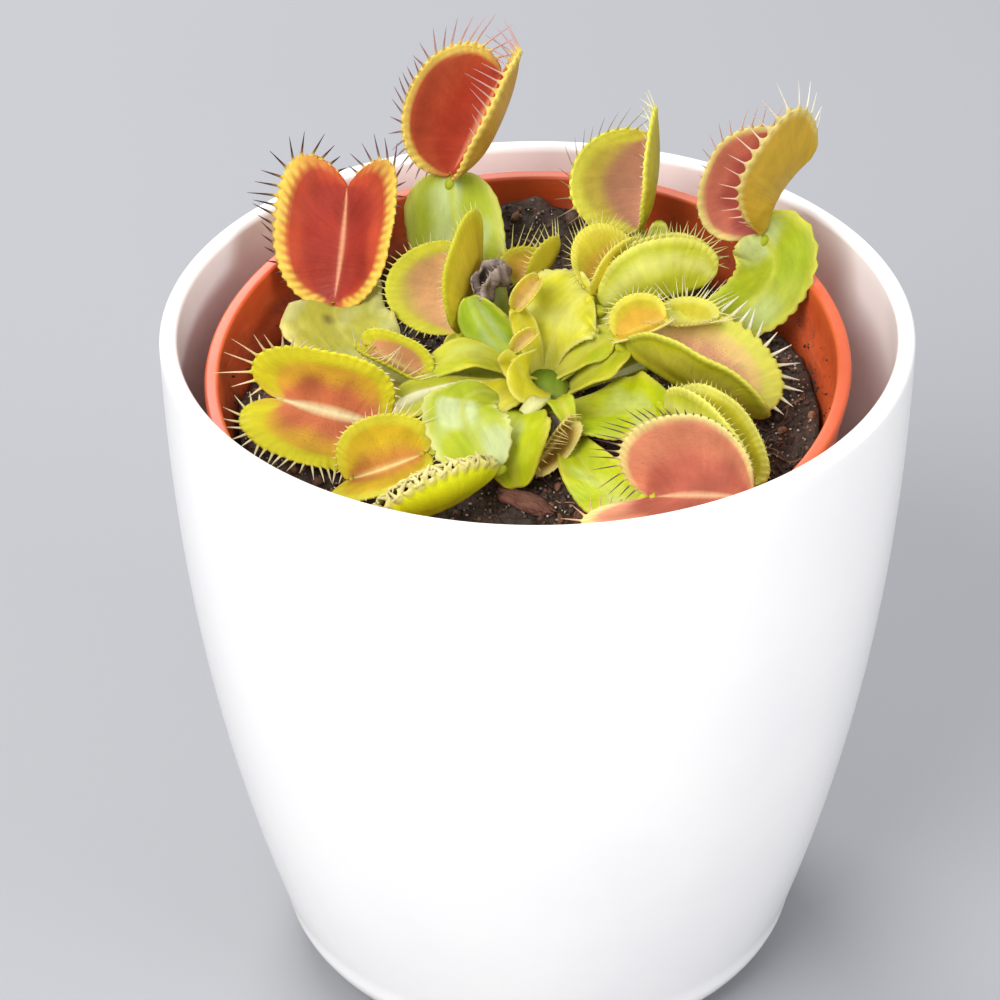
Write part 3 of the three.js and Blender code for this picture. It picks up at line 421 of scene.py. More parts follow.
def add_sheet(pile, front, normals, thickness, tints, grain, flush, look):
    """A thin closed body from a grid of front points: each row is a loop over the front and back,
    with a rounded edge on both sides, and both end rows are closed by strips."""
    rows, columns = front.shape[:2]
    back = front - normals * thickness[..., None]
    middle = (front + back) / 2
    bulge = thickness[..., None] / 2
    left_edge = middle[:, 0] + unit(front[:, 0] - front[:, 1]) * bulge[:, 0]
    right_edge = middle[:, -1] + unit(front[:, -1] - front[:, -2]) * bulge[:, -1]

    def loop(on_front, on_back, at_left=None, at_right=None):
        left = on_front[:, 0] if at_left is None else at_left
        right = on_front[:, -1] if at_right is None else at_right
        return np.concatenate([on_front, right[:, None], on_back[:, ::-1], left[:, None]], axis=1)

    points = loop(front, back, left_edge, right_edge)
    ring = points.shape[1]
    faces, caps = grid_faces(rows, ring, closed=True), sheet_caps(rows, columns, ring)
    if ((front - back) * grid_normals(front)).sum() < 0:
        faces, caps = faces[:, ::-1], [face[::-1] for face in caps]
    pile.add(points, faces, loop(*tints), loop(grain, grain), loop(flush, flush * 0.15), look, caps)


# ---------------------------------------------------------------- the petiole


def root_point(azimuth, height):
    level = (height - RHIZOME.centre[2]) / RHIZOME.half_height
    radius = RHIZOME.root_depth * RHIZOME.radius * math.sqrt(1 - level * level)
    x, y, _ = RHIZOME.centre
    return np.array([x, y, height]) + radius * heading(azimuth, 0)


def blade_width(leaf, t):
    rising = np.sin(math.pi / 2 * np.minimum(t / leaf.peak, 1)) ** BLADE.rise
    falling = np.cos(math.pi / 2 * np.maximum((t - leaf.peak) / (1 - leaf.peak), 0)) ** BLADE.fall
    stalk = min(BLADE.stalk, leaf.half)
    blade = (leaf.half - stalk * BLADE.stalk_share) * rising * falling
    return np.maximum(stalk * (1 - BLADE.narrows * t) + blade, BLADE.thinnest)


def petiole(pile, leaf, seed):
    """The petiole: a stalk from the rhizome that widens into a leafy blade and ends at the hinge."""
    random = np.random.default_rng(seed)
    start = root_point(*leaf.root)
    end, via = np.array(leaf.hinge, float), np.array(leaf.via, float)
    handle = 2 * via - 0.5 * start - 0.5 * end
    t = np.linspace(0, 1, BLADE.rows)[:, None]
    centre = (1 - t) ** 2 * start + 2 * t * (1 - t) * handle + t ** 2 * end
    tangent = unit(2 * (1 - t) * (handle - start) + 2 * t * (end - handle))
    turn = np.minimum(t / BLADE.faces_by, 1)
    normal = square_to((1 - turn) * UP + turn * heading(*leaf.face), tangent)
    side = np.cross(tangent, normal)
    width = blade_width(leaf, t)

    s = np.linspace(-1, 1, 2 * BLADE.half_columns + 1)[None, :]
    flat = 0 * s + 0 * t
    wing = np.radians(np.where(s < 0, *leaf.wings))
    phase = random.uniform(0, 6, 4)
    broad = leaf.half > 1
    notches = np.abs(((t * leaf.half * 3.2 + phase[0]) % 1) - 0.5) * 2
    uneven = 0.035 * np.sin(t * 17 + phase[1] + 2 * np.sign(s)) * broad
    spread = width * (1 + np.abs(s) ** 6 * (uneven - leaf.fray * notches * broad))
    fold = np.sqrt(s * s + 0.012) - 0.11
    ruffle = leaf.ruffle * smooth(t, 0.2, 0.5) * np.abs(s) ** 2.2
    ruffled = ruffle * np.sin(t * (9 + 2 * phase[2]) + np.where(s < 0, phase[3], phase[1] + 1.5))
    lift = fold * np.sin(wing) + ruffled
    ears = leaf.ears * width * s * s * t ** 6
    front = (centre[:, None] + side[:, None] * (s * np.cos(wing) * spread)[..., None]
             + normal[:, None] * (lift * width)[..., None] + tangent[:, None] * ears[..., None])
    pucker = waves(front, 6, seed) * (0.12 + leaf.shrivel) * broad
    creases = waves(front, 3, seed + 30) * leaf.crease * np.abs(s)
    keel_wide = max(0.55, 0.6 * leaf.keel)
    raised = max(leaf.keel - 0.7, 0) * np.exp(-((s * width) / keel_wide) ** 4)
    front = front + normal[:, None] * (pucker + creases + raised)[..., None]

    thin = BLADE.thick if broad else 1.1 * leaf.half
    thickness = thin + leaf.keel * np.exp(-((s * width) / keel_wide) ** 2) * broad + 0 * t
    normals = grid_normals(front)
    if (normals * normal[:, None]).sum() < 0:
        normals = -normals
    tints = blade_tints(leaf, s, t, width, waves(front, 9, seed + 40))
    along = t * np.linalg.norm(end - start) + 0.6 * np.abs(s) * width
    grain = np.stack([s * width, along, flat + seed * 7.3], axis=-1)
    add_sheet(pile, front, normals, thickness, tints, grain, flat, 0)


def blade_tints(leaf, s, t, width, cloud):
    """Face and back colours of a blade: its keel, its thin edge, pale patches of painted highlight and a
    paler root.
    """
    look = BLADE_LOOKS[leaf.blade]
    across = np.abs(s) + 0 * t
    keel = np.exp(-((s * width) / max(0.5, 0.6 * leaf.keel)) ** 4) * 0.85
    face = graded(across, [(0, look.face), (0.75, look.face), (1, look.edge)])
    greener = smooth(-cloud, 0, 0.9) * smooth(t, 0.2, 0.5) * look.green
    face = blend(face, linear("#8fb41c"), greener)
    # Pale patches painted on the face: a painted highlight where light would shine off it.
    painted_gloss_patches = smooth(cloud + 0.6 - across, 0.1, 0.7) * smooth(t, 0.25, 0.5) * look.frost * 0.6
    face = blend(face, linear("#dfecca"), painted_gloss_patches)
    face = blend(face, linear(look.keel), keel)
    root_share = (1 - smooth(t, 0.05, 0.4)) * 0.5 + 0 * s
    face = blend(face, linear(look.keel if leaf.blade == "dead" else "#d6d066"), root_share)
    back = blend(np.broadcast_to(linear(look.back), face.shape), linear(look.keel), keel)
    if leaf.spot:
        spot = np.exp(-((s * width + 1.2) / 0.7) ** 4 - ((t - 0.9) / 0.035) ** 4)
        face = blend(face, linear("#6f6240"), 0.75 * spot)
    return face, back * 0.8 + face * 0.2


# ---------------------------------------------------------------- the trap


def sided(value, hand):
    """A measure that may be a pair for the left (hand -1) and right (hand 1) lobes."""
    return np.where(hand < 0, *value) if isinstance(value, tuple) else value + 0.0 * hand


def lobe_margin(trap, u, hand):
    """How far along the midrib, and how far out from it, the margin is at u from 0 to 1."""
    lobe = sided(trap.lobe, hand)
    low = np.where(u < 0.5, sided(trap.heel, hand), sided(trap.toe, hand)) * lobe
    high = lobe - low
    dip = np.arcsin(low / high)
    reach = 0.5 * trap.length / np.cos(dip)
    angle = math.pi / 2 - np.abs(u - 0.5) / 0.5 * (math.pi / 2 + dip)
    square = sided(trap.square, hand)
    wide = np.abs(np.cos(angle)) ** square * np.cos(dip) ** (1 - square)
    tall = np.where(angle > 0, np.abs(np.sin(angle)) ** square, np.sin(angle))
    away = low + high * tall
    return trap.length / 2 + np.sign(u - 0.5) * reach * wide + sided(trap.skew, hand) * away, away


def lobe_frame(trap):
    rib = heading(*trap.tip)
    mouth = square_to(heading(*trap.opens), rib)
    return rib, mouth, np.cross(rib, mouth)


def lobe_points(leaf, u, v, hand, extra):
    """Points of a lobe's inner face. v runs from the midrib to the margin, extra lengthens it there."""
    trap = leaf.trap
    rib, mouth, side = lobe_frame(trap)
    along, away = lobe_margin(trap, u, hand)
    cup = np.radians(sided(trap.cup, hand))
    steep = np.radians(sided(trap.gape, hand)) + cup / 2
    spine = np.array(leaf.hinge, float) + rib * (u * trap.length)[..., None]
    spine = spine - mouth * (4 * trap.sag * trap.length * u * (1 - u))[..., None]
    far = v + extra / np.maximum(away, 0.5)
    up = (np.sin(steep) - np.sin(steep - cup * far)) / cup
    out = (np.cos(steep - cup * far) - np.cos(steep)) / cup
    slide = (along - u * trap.length) * v ** LOBE_SWEEP
    return (spine + mouth * (up * away)[..., None] + side * (hand * out * away)[..., None]
            + rib * slide[..., None])


def arc_along(points):
    """How far along a line each of its points is, from 0 to 1, and the line's length."""
    steps = np.linalg.norm(np.diff(points, axis=0), axis=1)
    total = np.concatenate([[0], np.cumsum(steps)])
    return total / total[-1], total[-1]


def margin_arc(leaf, u, hand):
    return arc_along(lobe_points(leaf, u, np.ones_like(u), hand + 0 * u, 0))


def lobe_teeth(trap, hand):
    return trap.right if hand > 0 and trap.right else trap.left


def trap_tints(look, uu, vv, away, beats, cloud):
    """Inside and outside colours of the lobes. beats is 1 at a tooth and 0 between teeth."""
    inner = look.heart_end
    stops = [(0, look.heart), (inner, look.heart), (0.5 + inner / 2, look.fringe)]
    inside = graded(vv + 0.06 * cloud, stops) * (1 + 0.1 * cloud)[..., None]
    # The rim narrows to nothing where the lobes meet at the ends of the midrib.
    bare = look.bare_ends
    ends = smooth(uu, 0.02, 0.16) * (1 - smooth(uu, 0.99 - bare, 0.99))
    from_margin = (1 - vv) * away
    rim_wide = look.rim_wide * (0.35 + 0.65 * ends)
    least = 0.25 if bare < 0.2 else 0
    rim = (1 - smooth(from_margin, 0.55 * rim_wide, rim_wide + 0.15)) * (least + (1 - least) * ends)
    rim = rim * (1 - look.stripes * (1 - beats) * smooth(from_margin, 0.1, 0.6 * rim_wide))
    inside = blend(inside, linear(look.rim), rim)
    lens = look.rib_wide * (0.2 + 0.8 * np.sin(math.pi * uu) ** 1.3)
    rib = np.exp(-((vv * away / lens) ** 4)) * smooth(uu, 0.02, 0.15)
    inside = blend(inside, linear(look.rib), rib * 0.9)
    # A pale band painted along the outside's bulge: a painted highlight where light shines off it.
    sheen = look.sheen * np.exp(-(((vv - 0.62 + 0.08 * cloud) / 0.2) ** 2))
    outside = blend(np.broadcast_to(linear(look.outside), inside.shape), linear("#e8e88c"), sheen)
    outside = blend(outside, linear(look.rim), 0.8 * (1 - smooth(from_margin, 0.2, 0.8)) * ends)
    return inside, outside * 0.92 + inside * 0.08


def even_rows(leaf, rows):
    """Places along the midrib whose margin points are about evenly spaced."""
    fine = np.linspace(0.012, 0.988, 400)
    arc = sum(margin_arc(leaf, fine, hand)[0] for hand in (-1, 1)) / 2
    return np.interp(np.linspace(0, 1, rows), 0.75 * arc + 0.25 * np.linspace(0, 1, 400), fine)


def trap(pile, leaf, seed):
    """Two lobes as one sheet that bends at the midrib, with a scalloped margin and a pale midrib."""
    shape = leaf.trap
    look = TRAP_LOOKS[shape.look]
    rows, half_columns = FINE_GRID if shape.length > LARGE_TRAP else COARSE_GRID
    u = even_rows(leaf, rows)
    x = np.linspace(-1, 1, 2 * half_columns + 1)
    uu, vv = np.meshgrid(u, 1 - (1 - np.abs(x)) ** 1.25, indexing="ij")
    hands = np.broadcast_to(np.sign(x), uu.shape)
    beats, wedges = np.ones_like(uu), np.zeros_like(uu)
    for hand in (-1, 1):
        arc, length = margin_arc(leaf, u, hand)
        count = round(length / lobe_teeth(shape, hand).gap)
        beats = np.where(hands == hand, np.sin(math.pi * count * arc[:, None]) ** 2, beats)
        wedges = np.where(hands == hand, lobe_teeth(shape, hand).thick, wedges)
    _, away = lobe_margin(shape, uu, hands)
    fading = smooth(away / away.max(), 0.15, 0.5)
    scallop = 0.7 * wedges * beats * smooth(vv, 0.86, 1) * fading
    front = lobe_points(leaf, uu, vv, hands, scallop)

    mouth = lobe_frame(shape)[1]
    normals = facing(grid_normals(front), mouth, half_columns)
    size = shape.length / 16
    out = vv * away
    ridge = 0.3 * look.rib_wide * np.exp(-((out / look.rib_wide) ** 2))
    flare = -0.32 * size * smooth(vv, 0.84, 1) * fading
    beads = 0.2 * wedges * size * beats * smooth(vv, 0.8, 0.95) * fading
    billow = waves(front, 9, seed + 50) * 0.22 * size * smooth(vv, 0.1, 0.5) * fading
    crumple = waves(front, 1.7, seed + 70) * leaf.shrivel
    front = front + normals * (ridge + flare + beads + billow + crumple)[..., None]
    normals = facing(grid_normals(front), mouth, half_columns)

    slender_ends = smooth(uu, 0, 0.1) * (1 - smooth(uu, 0.9, 1))
    thickness = 0.3 * size + 0.16 + 0.55 * size * np.exp(-((out / (0.9 * size)) ** 2)) * slender_ends
    tints = trap_tints(look, uu, vv, away, beats, waves(front, 6, seed + 60))
    grain = np.stack([uu * shape.length, out * hands, 0 * uu + seed * 5.1], axis=-1)
    flush = look.flush * smooth((1 - vv) * away, look.rim_wide, look.rim_wide + 1.5) * smooth(out, 0.3, 1.2)
    add_sheet(pile, front, normals, thickness, tints, grain, flush, 1)
    for hand, edge, inner in ((-1, 0, 2), (1, -1, -3)):
        grow_teeth(pile, lobe_teeth(shape, hand), look, front[:, edge], front[:, inner], normals[:, edge],
                   thickness[:, edge], 2 * seed + hand)


def facing(normals, mouth, middle):
    """The same normals, turned to the side the trap's mouth is on."""
    return normals if (normals[:, middle] @ mouth).sum() > 0 else -normals


def grow_teeth(pile, spec, look, edge, inner, normals, thickness, seed):
    """One lobe's teeth: wedges that thin into curved bristles, one on each scallop."""
    random = np.random.default_rng(1000 + seed)
    arc, total = arc_along(edge)
    count = round(total / spec.gap)
    stops = np.linspace(0, 1, len(spec.lengths))

    def at(place, values):
        return np.array([np.interp(place, arc, values[:, c]) for c in range(3)])

    for k in range(count):
        place = (k + 0.5) / count
        reach = np.interp(place, stops, spec.lengths) * random.uniform(0.84, 1.12)
        drift, curl, shade = random.normal(0, 0.1), random.normal(0, 0.06), random.uniform(0.85, 1.15)
        if reach < 0.3 or not 0.03 < place < 0.97:
            continue
        margin_way = unit(at(place + 0.01, edge) - at(place - 0.01, edge))
        outward = square_to(at(place, edge) - at(place, inner), margin_way)
        normal = unit(at(place, normals))
        thick = np.interp(place, arc, thickness)
        way = unit(outward + normal * spec.lean + margin_way * (spec.slant + drift))
        bend = unit(normal + 0.4 * outward) * (0.16 * min(spec.lean, 0.6) + curl)
        base = at(place, edge) - normal * thick * 0.5
        tint = blend(linear(spec.tints[0]), linear(spec.tints[1]), smooth(place, 0.3, 0.8)) * shade
        tooth(pile, base, way, bend, margin_way, reach, min(spec.thick, reach * 0.45), thick,
              min(total / count * 0.4, 0.25 * reach + 0.15), linear(look.rim), tint)


def tooth(pile, base, way, bend, margin_way, reach, slim, thick, foot, rim_tint, tip_tint):
    """A tooth from base along way: foot is half its width at the margin, slim its bristle's thickness."""
    rings = TOOTH_RINGS[:, None]
    centre = base + way * reach * rings + bend * reach * rings ** 2
    wedge = np.clip(1 - rings / 0.24, 0, 1) ** 1.5
    slender = 0.5 * slim * (1 - 0.86 * np.clip(rings, 0, 1) ** 1.2)
    wide = np.maximum(slender, wedge * foot)
    deep = np.maximum(slender * 0.9, wedge * thick * 0.42)
    turn = round_angles(TOOTH_SIDES)
    across = np.cross(way, margin_way)
    body = (centre[:, None] + margin_way * (np.cos(turn)[None, :, None] * wide[:, None])
            + across * (np.sin(turn)[None, :, None] * deep[:, None]))
    points, quads, ends = closed_rings(body, centre[0], centre[-1] + way * 0.06)
    share = np.append(np.repeat(smooth(TOOTH_RINGS, 0.02, 0.3), TOOTH_SIDES), [0, 1])
    tint = blend(np.broadcast_to(rim_tint, (len(points), 3)), tip_tint, share)
    pile.add(points, quads, tint, look=2, caps=ends)


def hinge(pile, leaf):
    """The thickened place where the petiole meets the midrib."""
    rib, mouth, side = lobe_frame(leaf.trap)
    size = min(0.8, 0.055 * leaf.trap.length)
    points, faces = rock_template(3)
    centre = np.array(leaf.hinge, float) - (mouth + rib) * size
    placed = centre + size * (points[:, :1] * side + points[:, 1:2] * mouth + 1.6 * points[:, 2:] * rib)
    pile.add(placed, faces, linear(BLADE_LOOKS[leaf.blade].face))


# ---------------------------------------------------------------- materials


def node(tree, kind, inputs=None, output=0, **settings):
    """One output of a new shader node. An input that is a socket is linked, anything else is its value."""
    made = tree.nodes.new(kind)
    for key, value in settings.items():
        setattr(made, key, value)
    for key, value in (inputs or {}).items():
        if isinstance(value, bpy.types.NodeSocket):
            tree.links.new(value, made.inputs[key])
        else:
            made.inputs[key].default_value = value
    return made.outputs[output] if made.outputs else None


def attribute(tree, name, output="Color"):
    return node(tree, "ShaderNodeAttribute", output=output, attribute_name=name)


def object_place(tree):
    return node(tree, "ShaderNodeTexCoord", output="Object")


def times(tree, a, b, operation="MULTIPLY"):
    return node(tree, "ShaderNodeMath", {0: a, 1: b}, operation=operation)


def plus(tree, a, b):
    return times(tree, a, b, "ADD")


def ranged(tree, value, low, high, to_low, to_high):
    inputs = {"Value": value, "From Min": low, "From Max": high, "To Min": to_low, "To Max": to_high}
    return node(tree, "ShaderNodeMapRange", inputs)


def mixed(tree, factor, a, b):
    return node(tree, "ShaderNodeMix", {0: factor, 6: a, 7: b}, output=2, data_type="RGBA")


def shaded(tree, colour, value, saturation=1):
    inputs = {"Color": colour, "Saturation": saturation, "Value": value}
    return node(tree, "ShaderNodeHueSaturation", inputs)


def scaled(tree, vector, scale):
    return node(tree, "ShaderNodeMapping", {"Vector": vector, "Scale": scale})


def noise_of(tree, vector, scale, detail=3, roughness=0.5):
    inputs = {"Vector": vector, "Scale": scale, "Detail": detail, "Roughness": roughness}
    return node(tree, "ShaderNodeTexNoise", inputs, output="Fac")


def cells_of(tree, vector, scale):
    return node(tree, "ShaderNodeTexVoronoi", {"Vector": vector, "Scale": scale}, output="Distance")


def bumped(tree, height, strength, distance):
    inputs = {"Height": height, "Strength": strength, "Distance": distance}
    return node(tree, "ShaderNodeBump", inputs)


def principled(tree, colour, rough, bump=None, **levels):
    """The surface shader. levels are its other inputs, with _ for each space in a name."""
    inputs = {"Base Color": colour, "Roughness": rough}
    inputs.update({key.replace("_", " "): level for key, level in levels.items()})
    if bump is not None:
        inputs["Normal"] = bump
    return node(tree, "ShaderNodeBsdfPrincipled", inputs)


def rgba(colour):
    return (*linear(colour), 1)


def material(name, look, *details):
    """A material whose shader look makes in its node tree."""
    made = bpy.data.materials.new(name)
    made.use_nodes = True
    tree = made.node_tree
    tree.nodes.clear()
    node(tree, "ShaderNodeOutputMaterial", {"Surface": look(tree, *details)})
    return made


def flesh(tree, vein, gloss, glow, veins_scale, speckled):
    """Living leaf: mottled and veined, speckled with glands where it is flushed, and lit through."""
    tint, grain = attribute(tree, "tint"), attribute(tree, "grain", "Vector")
    mottle = ranged(tree, noise_of(tree, grain, 0.35, 4, 0.6), 0.3, 0.7, 0.8, 0.98)
    veins = noise_of(tree, scaled(tree, grain, veins_scale), 1.0, 3, 0.55)
    veined = ranged(tree, veins, 0.35, 0.65, 1 - vein, 1 + vein)
    colour = shaded(tree, tint, times(tree, mottle, veined))
    height = ranged(tree, veins, 0.3, 0.7, 0, 1)
    if speckled:
        dots = ranged(tree, cells_of(tree, grain, 3.6), 0.12, 0.34, 1, 0)
        flushed = times(tree, dots, attribute(tree, "flush", "Fac"))
        colour = mixed(tree, times(tree, flushed, 0.38), colour, rgba("#8a3020"))
        height = plus(tree, height, times(tree, dots, 0.6))
    fine = noise_of(tree, grain, 6.0, 2, 0.5)
    height = plus(tree, height, times(tree, fine, 0.35))
    rough = ranged(tree, fine, 0.3, 0.7, gloss - 0.06, gloss + 0.1)
    skin = principled(tree, colour, rough, bumped(tree, height, 0.35, 0.00018), Specular_IOR_Level=0.2)
    lit = node(tree, "ShaderNodeBsdfTranslucent", {"Color": shaded(tree, colour, 1.15, 1.1)})
    return node(tree, "ShaderNodeMixShader", {0: glow, 1: skin, 2: lit})


def dry(tree):
    """Dead tissue: crinkled, matt and streaked."""
    grain = attribute(tree, "grain", "Vector")
    streaks = noise_of(tree, scaled(tree, grain, (2.5, 0.7, 1)), 1.0, 5, 0.7)
    colour = shaded(tree, attribute(tree, "tint"), ranged(tree, streaks, 0.3, 0.7, 0.55, 1.7))
    return principled(tree, colour, 0.8, bumped(tree, streaks, 0.8, 0.0004))


def glaze(tree):
    """White glaze: glossy, faintly uneven, and bare clay on the foot ring."""
    place, bare = object_place(tree), attribute(tree, "flush", "Fac")
    cloud = noise_of(tree, place, 35, 3, 0.5)
    white = mixed(tree, ranged(tree, cloud, 0.35, 0.65, 0, 1), rgba("#f6f4f3"), rgba("#f1f0f1"))
    pits = noise_of(tree, place, 700, 2, 0.5)
    clay = mixed(tree, ranged(tree, pits, 0.4, 0.6, 0, 1), rgba("#e6dccb"), rgba("#d8cbb6"))
    gloss, chalky = ranged(tree, cloud, 0.3, 0.7, 0.17, 0.24), times(tree, bare, 0.5)
    ripple = bumped(tree, noise_of(tree, place, 110, 2, 0.4), 0.12, 0.0003)
    return principled(tree, mixed(tree, bare, white, clay), plus(tree, gloss, chalky), ripple,
                      Specular_IOR_Level=0.5, Coat_Weight=0.25, Coat_Roughness=0.08)


def plastic(tree):
    """Orange moulded plastic: satin and scuffed, darker inside towards the soil, with grime and specks of
    peat there.
    """
    place, near_soil = object_place(tree), attribute(tree, "flush", "Fac")
    cloud = noise_of(tree, place, 90, 4, 0.6)
    colour = mixed(tree, ranged(tree, cloud, 0.35, 0.65, 0, 1), rgba("#c24a20"), rgba("#cc5a2e"))
    scuffs = noise_of(tree, scaled(tree, place, (60, 60, 900)), 1.0, 5, 0.65)
    colour = mixed(tree, ranged(tree, scuffs, 0.6, 0.75, 0, 0.35), colour, rgba("#f0926a"))
    grime = ranged(tree, noise_of(tree, place, 160, 4, 0.7), 0.5, 0.62, 0, 1)
    specks = ranged(tree, cells_of(tree, place, 520), 0.1, 0.3, 0.7, 0)
    dirty, dotted = times(tree, grime, near_soil), times(tree, specks, near_soil)
    cover = times(tree, dirty, dotted, "MAXIMUM")
    # The wall inside grows darker towards the soil.
    colour = mixed(tree, times(tree, near_soil, 0.4), colour, rgba("#8a3a1c"))
    colour = mixed(tree, times(tree, cover, 0.8), colour, rgba("#4a2a1c"))
    satin, matt = ranged(tree, cloud, 0.3, 0.7, 0.38, 0.5), times(tree, cover, 0.35)
    return principled(tree, colour, plus(tree, satin, matt), bumped(tree, scuffs, 0.15, 0.0002))


def damp_peat(tree):
    """Damp peat: near black, with browner crumbs."""
    lumps = noise_of(tree, object_place(tree), 900, 5, 0.7)
    colour = shaded(tree, attribute(tree, "tint"), ranged(tree, lumps, 0.3, 0.7, 0.3, 1.8))
    return principled(tree, colour, ranged(tree, lumps, 0.3, 0.7, 0.9, 0.6), bumped(tree, lumps, 0.9, 0.0006))


def bark(tree):
    """Torn bark: dark and pale fibres along its length."""
    fibre = noise_of(tree, scaled(tree, attribute(tree, "grain", "Vector"), (0.5, 4, 4)), 1.0, 5, 0.7)
    colour = mixed(tree, ranged(tree, fibre, 0.35, 0.65, 0, 1), rgba("#4d2c24"), rgba("#8a5a48"))
    return principled(tree, colour, 0.8, bumped(tree, fibre, 0.9, 0.0005))


def sand(tree):
    """Pale sand: a little glossy and uneven."""
    value = ranged(tree, noise_of(tree, object_place(tree), 2500, 2, 0.5), 0.3, 0.7, 0.8, 1.15)
    return principled(tree, shaded(tree, attribute(tree, "tint"), value), 0.3)


def studio_grey(tree):
    cloud = noise_of(tree, object_place(tree), 4, 2, 0.5)
    return principled(tree, mixed(tree, cloud, rgba("#8f9095"), rgba("#939498")), 0.7)


# How strong the veins are, the roughness, the share of light let through, the veins' scale, glands or none.
BLADE_FLESH = material("blade_flesh", flesh, 0.07, 0.4, 0.3, (0.9, 0.22, 1), False)
TRAP_FLESH = material("trap_flesh", flesh, 0.05, 0.42, 0.2, (1.7, 0.16, 1), True)
TOOTH_FLESH = material("tooth_flesh", flesh, 0.03, 0.45, 0.3, (1, 1, 1), False)
DRY_FLESH = material("dry_flesh", dry)
GLAZE = material("white_glaze", glaze)
PLASTIC = material("orange_plastic", plastic)
PEAT = material("peat", damp_peat)
BARK_LOOK = material("bark", bark)
GRIT = material("grit", sand)

# ---------------------------------------------------------------- turned pieces


def arc_points(x, y, radius_x, radius_y, start, end, steps):
    angles = np.radians(np.linspace(start, end, steps + 1))
    return [(x + radius_x * math.cos(a), y + radius_y * math.sin(a)) for a in angles]


def ring_points(radius, height, around):
    """Rings of points around +Z. radius and height hold a row for each ring."""
    angle = round_angles(around)[None, :]
    return np.stack([radius * np.cos(angle), radius * np.sin(angle), height + 0 * radius * angle], -1)


def lathe(pile, profile, around, tint, mark):
    """A closed body turned from a profile of (radius, height) that starts and ends on the axis.
    mark gives the flush attribute at a radius and height."""
    profile = np.array(profile, float)
    rings = ring_points(profile[1:-1, :1], profile[1:-1, 1:], around)
    low, high = profile[0, 1], profile[-1, 1]
    marks = np.repeat([mark(r, z) for r, z in profile[1:-1]], around)
    points, quads, ends = closed_rings(rings, [0, 0, low], [0, 0, high])
    pile.add(points, quads, tint, flush=np.concatenate([marks, [mark(0, low), mark(0, high)]]), caps=ends)


def cachepot_radius(height):
    depth = 1 - height / CACHEPOT.height
    return CACHEPOT.rim * (1 - CACHEPOT.taper * depth ** CACHEPOT.power)


def cachepot():
    pot = CACHEPOT
    below_lip, above_corner = pot.height - 3, pot.floor + pot.corner
    foot_width = cachepot_radius(pot.foot_round) - pot.foot
    foot = arc_points(pot.foot, pot.foot_round, foot_width, pot.foot_round, -90, 0, 12)
    outside = [(cachepot_radius(z), z) for z in np.linspace(pot.foot_round + 2, below_lip, 48)]
    rim = arc_points(pot.rim - pot.lip, pot.height - pot.lip, pot.lip, pot.lip, 0, 180, 16)
    inside = [(cachepot_radius(z) - pot.wall, z) for z in np.linspace(below_lip, above_corner, 44)]
    corner = arc_points(inside[-1][0] - pot.corner, above_corner, pot.corner, pot.corner, 0, -90, 8)[1:]
    profile = [(0, pot.recess_depth), (pot.recess - pot.recess_slope, pot.recess_depth), (pot.recess, 0),
               *foot, *outside, *rim, *inside, *corner, (0, pot.floor)]

    def bare_clay(radius, height):
        return 1.0 if height < 0.3 and pot.recess - 1 < radius < pot.foot + 1 else 0.0

    pile = Pile()
    lathe(pile, profile, pot.around, linear("#f4f2f1"), bare_clay)
    settle(pile.object("cachepot_glazed", [GLAZE]), "white_glaze", "cachepot")


def nursery_matrix():
    axis = Vector(NURSERY.lean).normalized()
    base = Vector(NURSERY.rim_centre) - axis * NURSERY.height
    return Matrix.Translation(base) @ Vector((0, 0, 1)).rotation_difference(axis).to_matrix().to_4x4()


NURSERY_PLACE = nursery_matrix()


def in_pot(points):
    """Points of the nursery pot's own space, in the row frame's millimetres."""
    rotation = np.array(NURSERY_PLACE.to_3x3())
    return points @ rotation.T + np.array(NURSERY_PLACE.translation)


def nursery_radius(height):
    widening = NURSERY.rim - NURSERY.collar_step - NURSERY.bottom
    return NURSERY.bottom + widening * height / NURSERY.height


def soil_edge(gap, height=SOIL.level):
    """The radius gap inside the nursery pot's wall."""
    return nursery_radius(height) - NURSERY.wall - gap


def nursery_pot():
    pot = NURSERY
    shoulder = pot.height - pot.collar
    collar = nursery_radius(shoulder) + pot.collar_step
    inner_rim = pot.rim - pot.lip
    bead = pot.height - pot.edge
    heights = np.linspace(pot.wall, shoulder, 24)
    profile = [
        (0, 0), (pot.bottom - pot.wall, 0),
        *[(nursery_radius(z), z) for z in heights],
        (collar, shoulder + 0.5), (collar + 0.05, shoulder + 1.2),
        *arc_points(pot.rim - pot.edge, bead, pot.edge, pot.edge, 0, 90, 6),
        *arc_points(inner_rim, bead, pot.edge, pot.edge, 90, 180, 6),
        (inner_rim - pot.edge - 0.1, pot.height - 3),
        (nursery_radius(shoulder) - pot.wall + 0.7, shoulder + 0.6),
        *[(nursery_radius(z) - pot.wall, z) for z in heights[::-1]],
        (0, pot.wall),
    ]

    # How far down the inner wall towards the soil a point is, from 0 near the rim to 1 at the soil.
    def near_soil(radius, height):
        inner = radius < nursery_radius(height) - 0.3 or height > shoulder + 1
        return float(smooth(np.array(-height), -(pot.height - 1), -(SOIL.level + 1))) if inner else 0.0

    pile = Pile()
    lathe(pile, profile, pot.around, linear("#d9683a"), near_soil)
    piece = pile.object("nursery_pot_moulded", [PLASTIC])
    drill_drains(piece)
    piece.data.transform(Matrix.Scale(MM, 4) @ NURSERY_PLACE @ Matrix.Scale(1 / MM, 4))
    settle(piece, "orange_plastic", "nursery_pot")


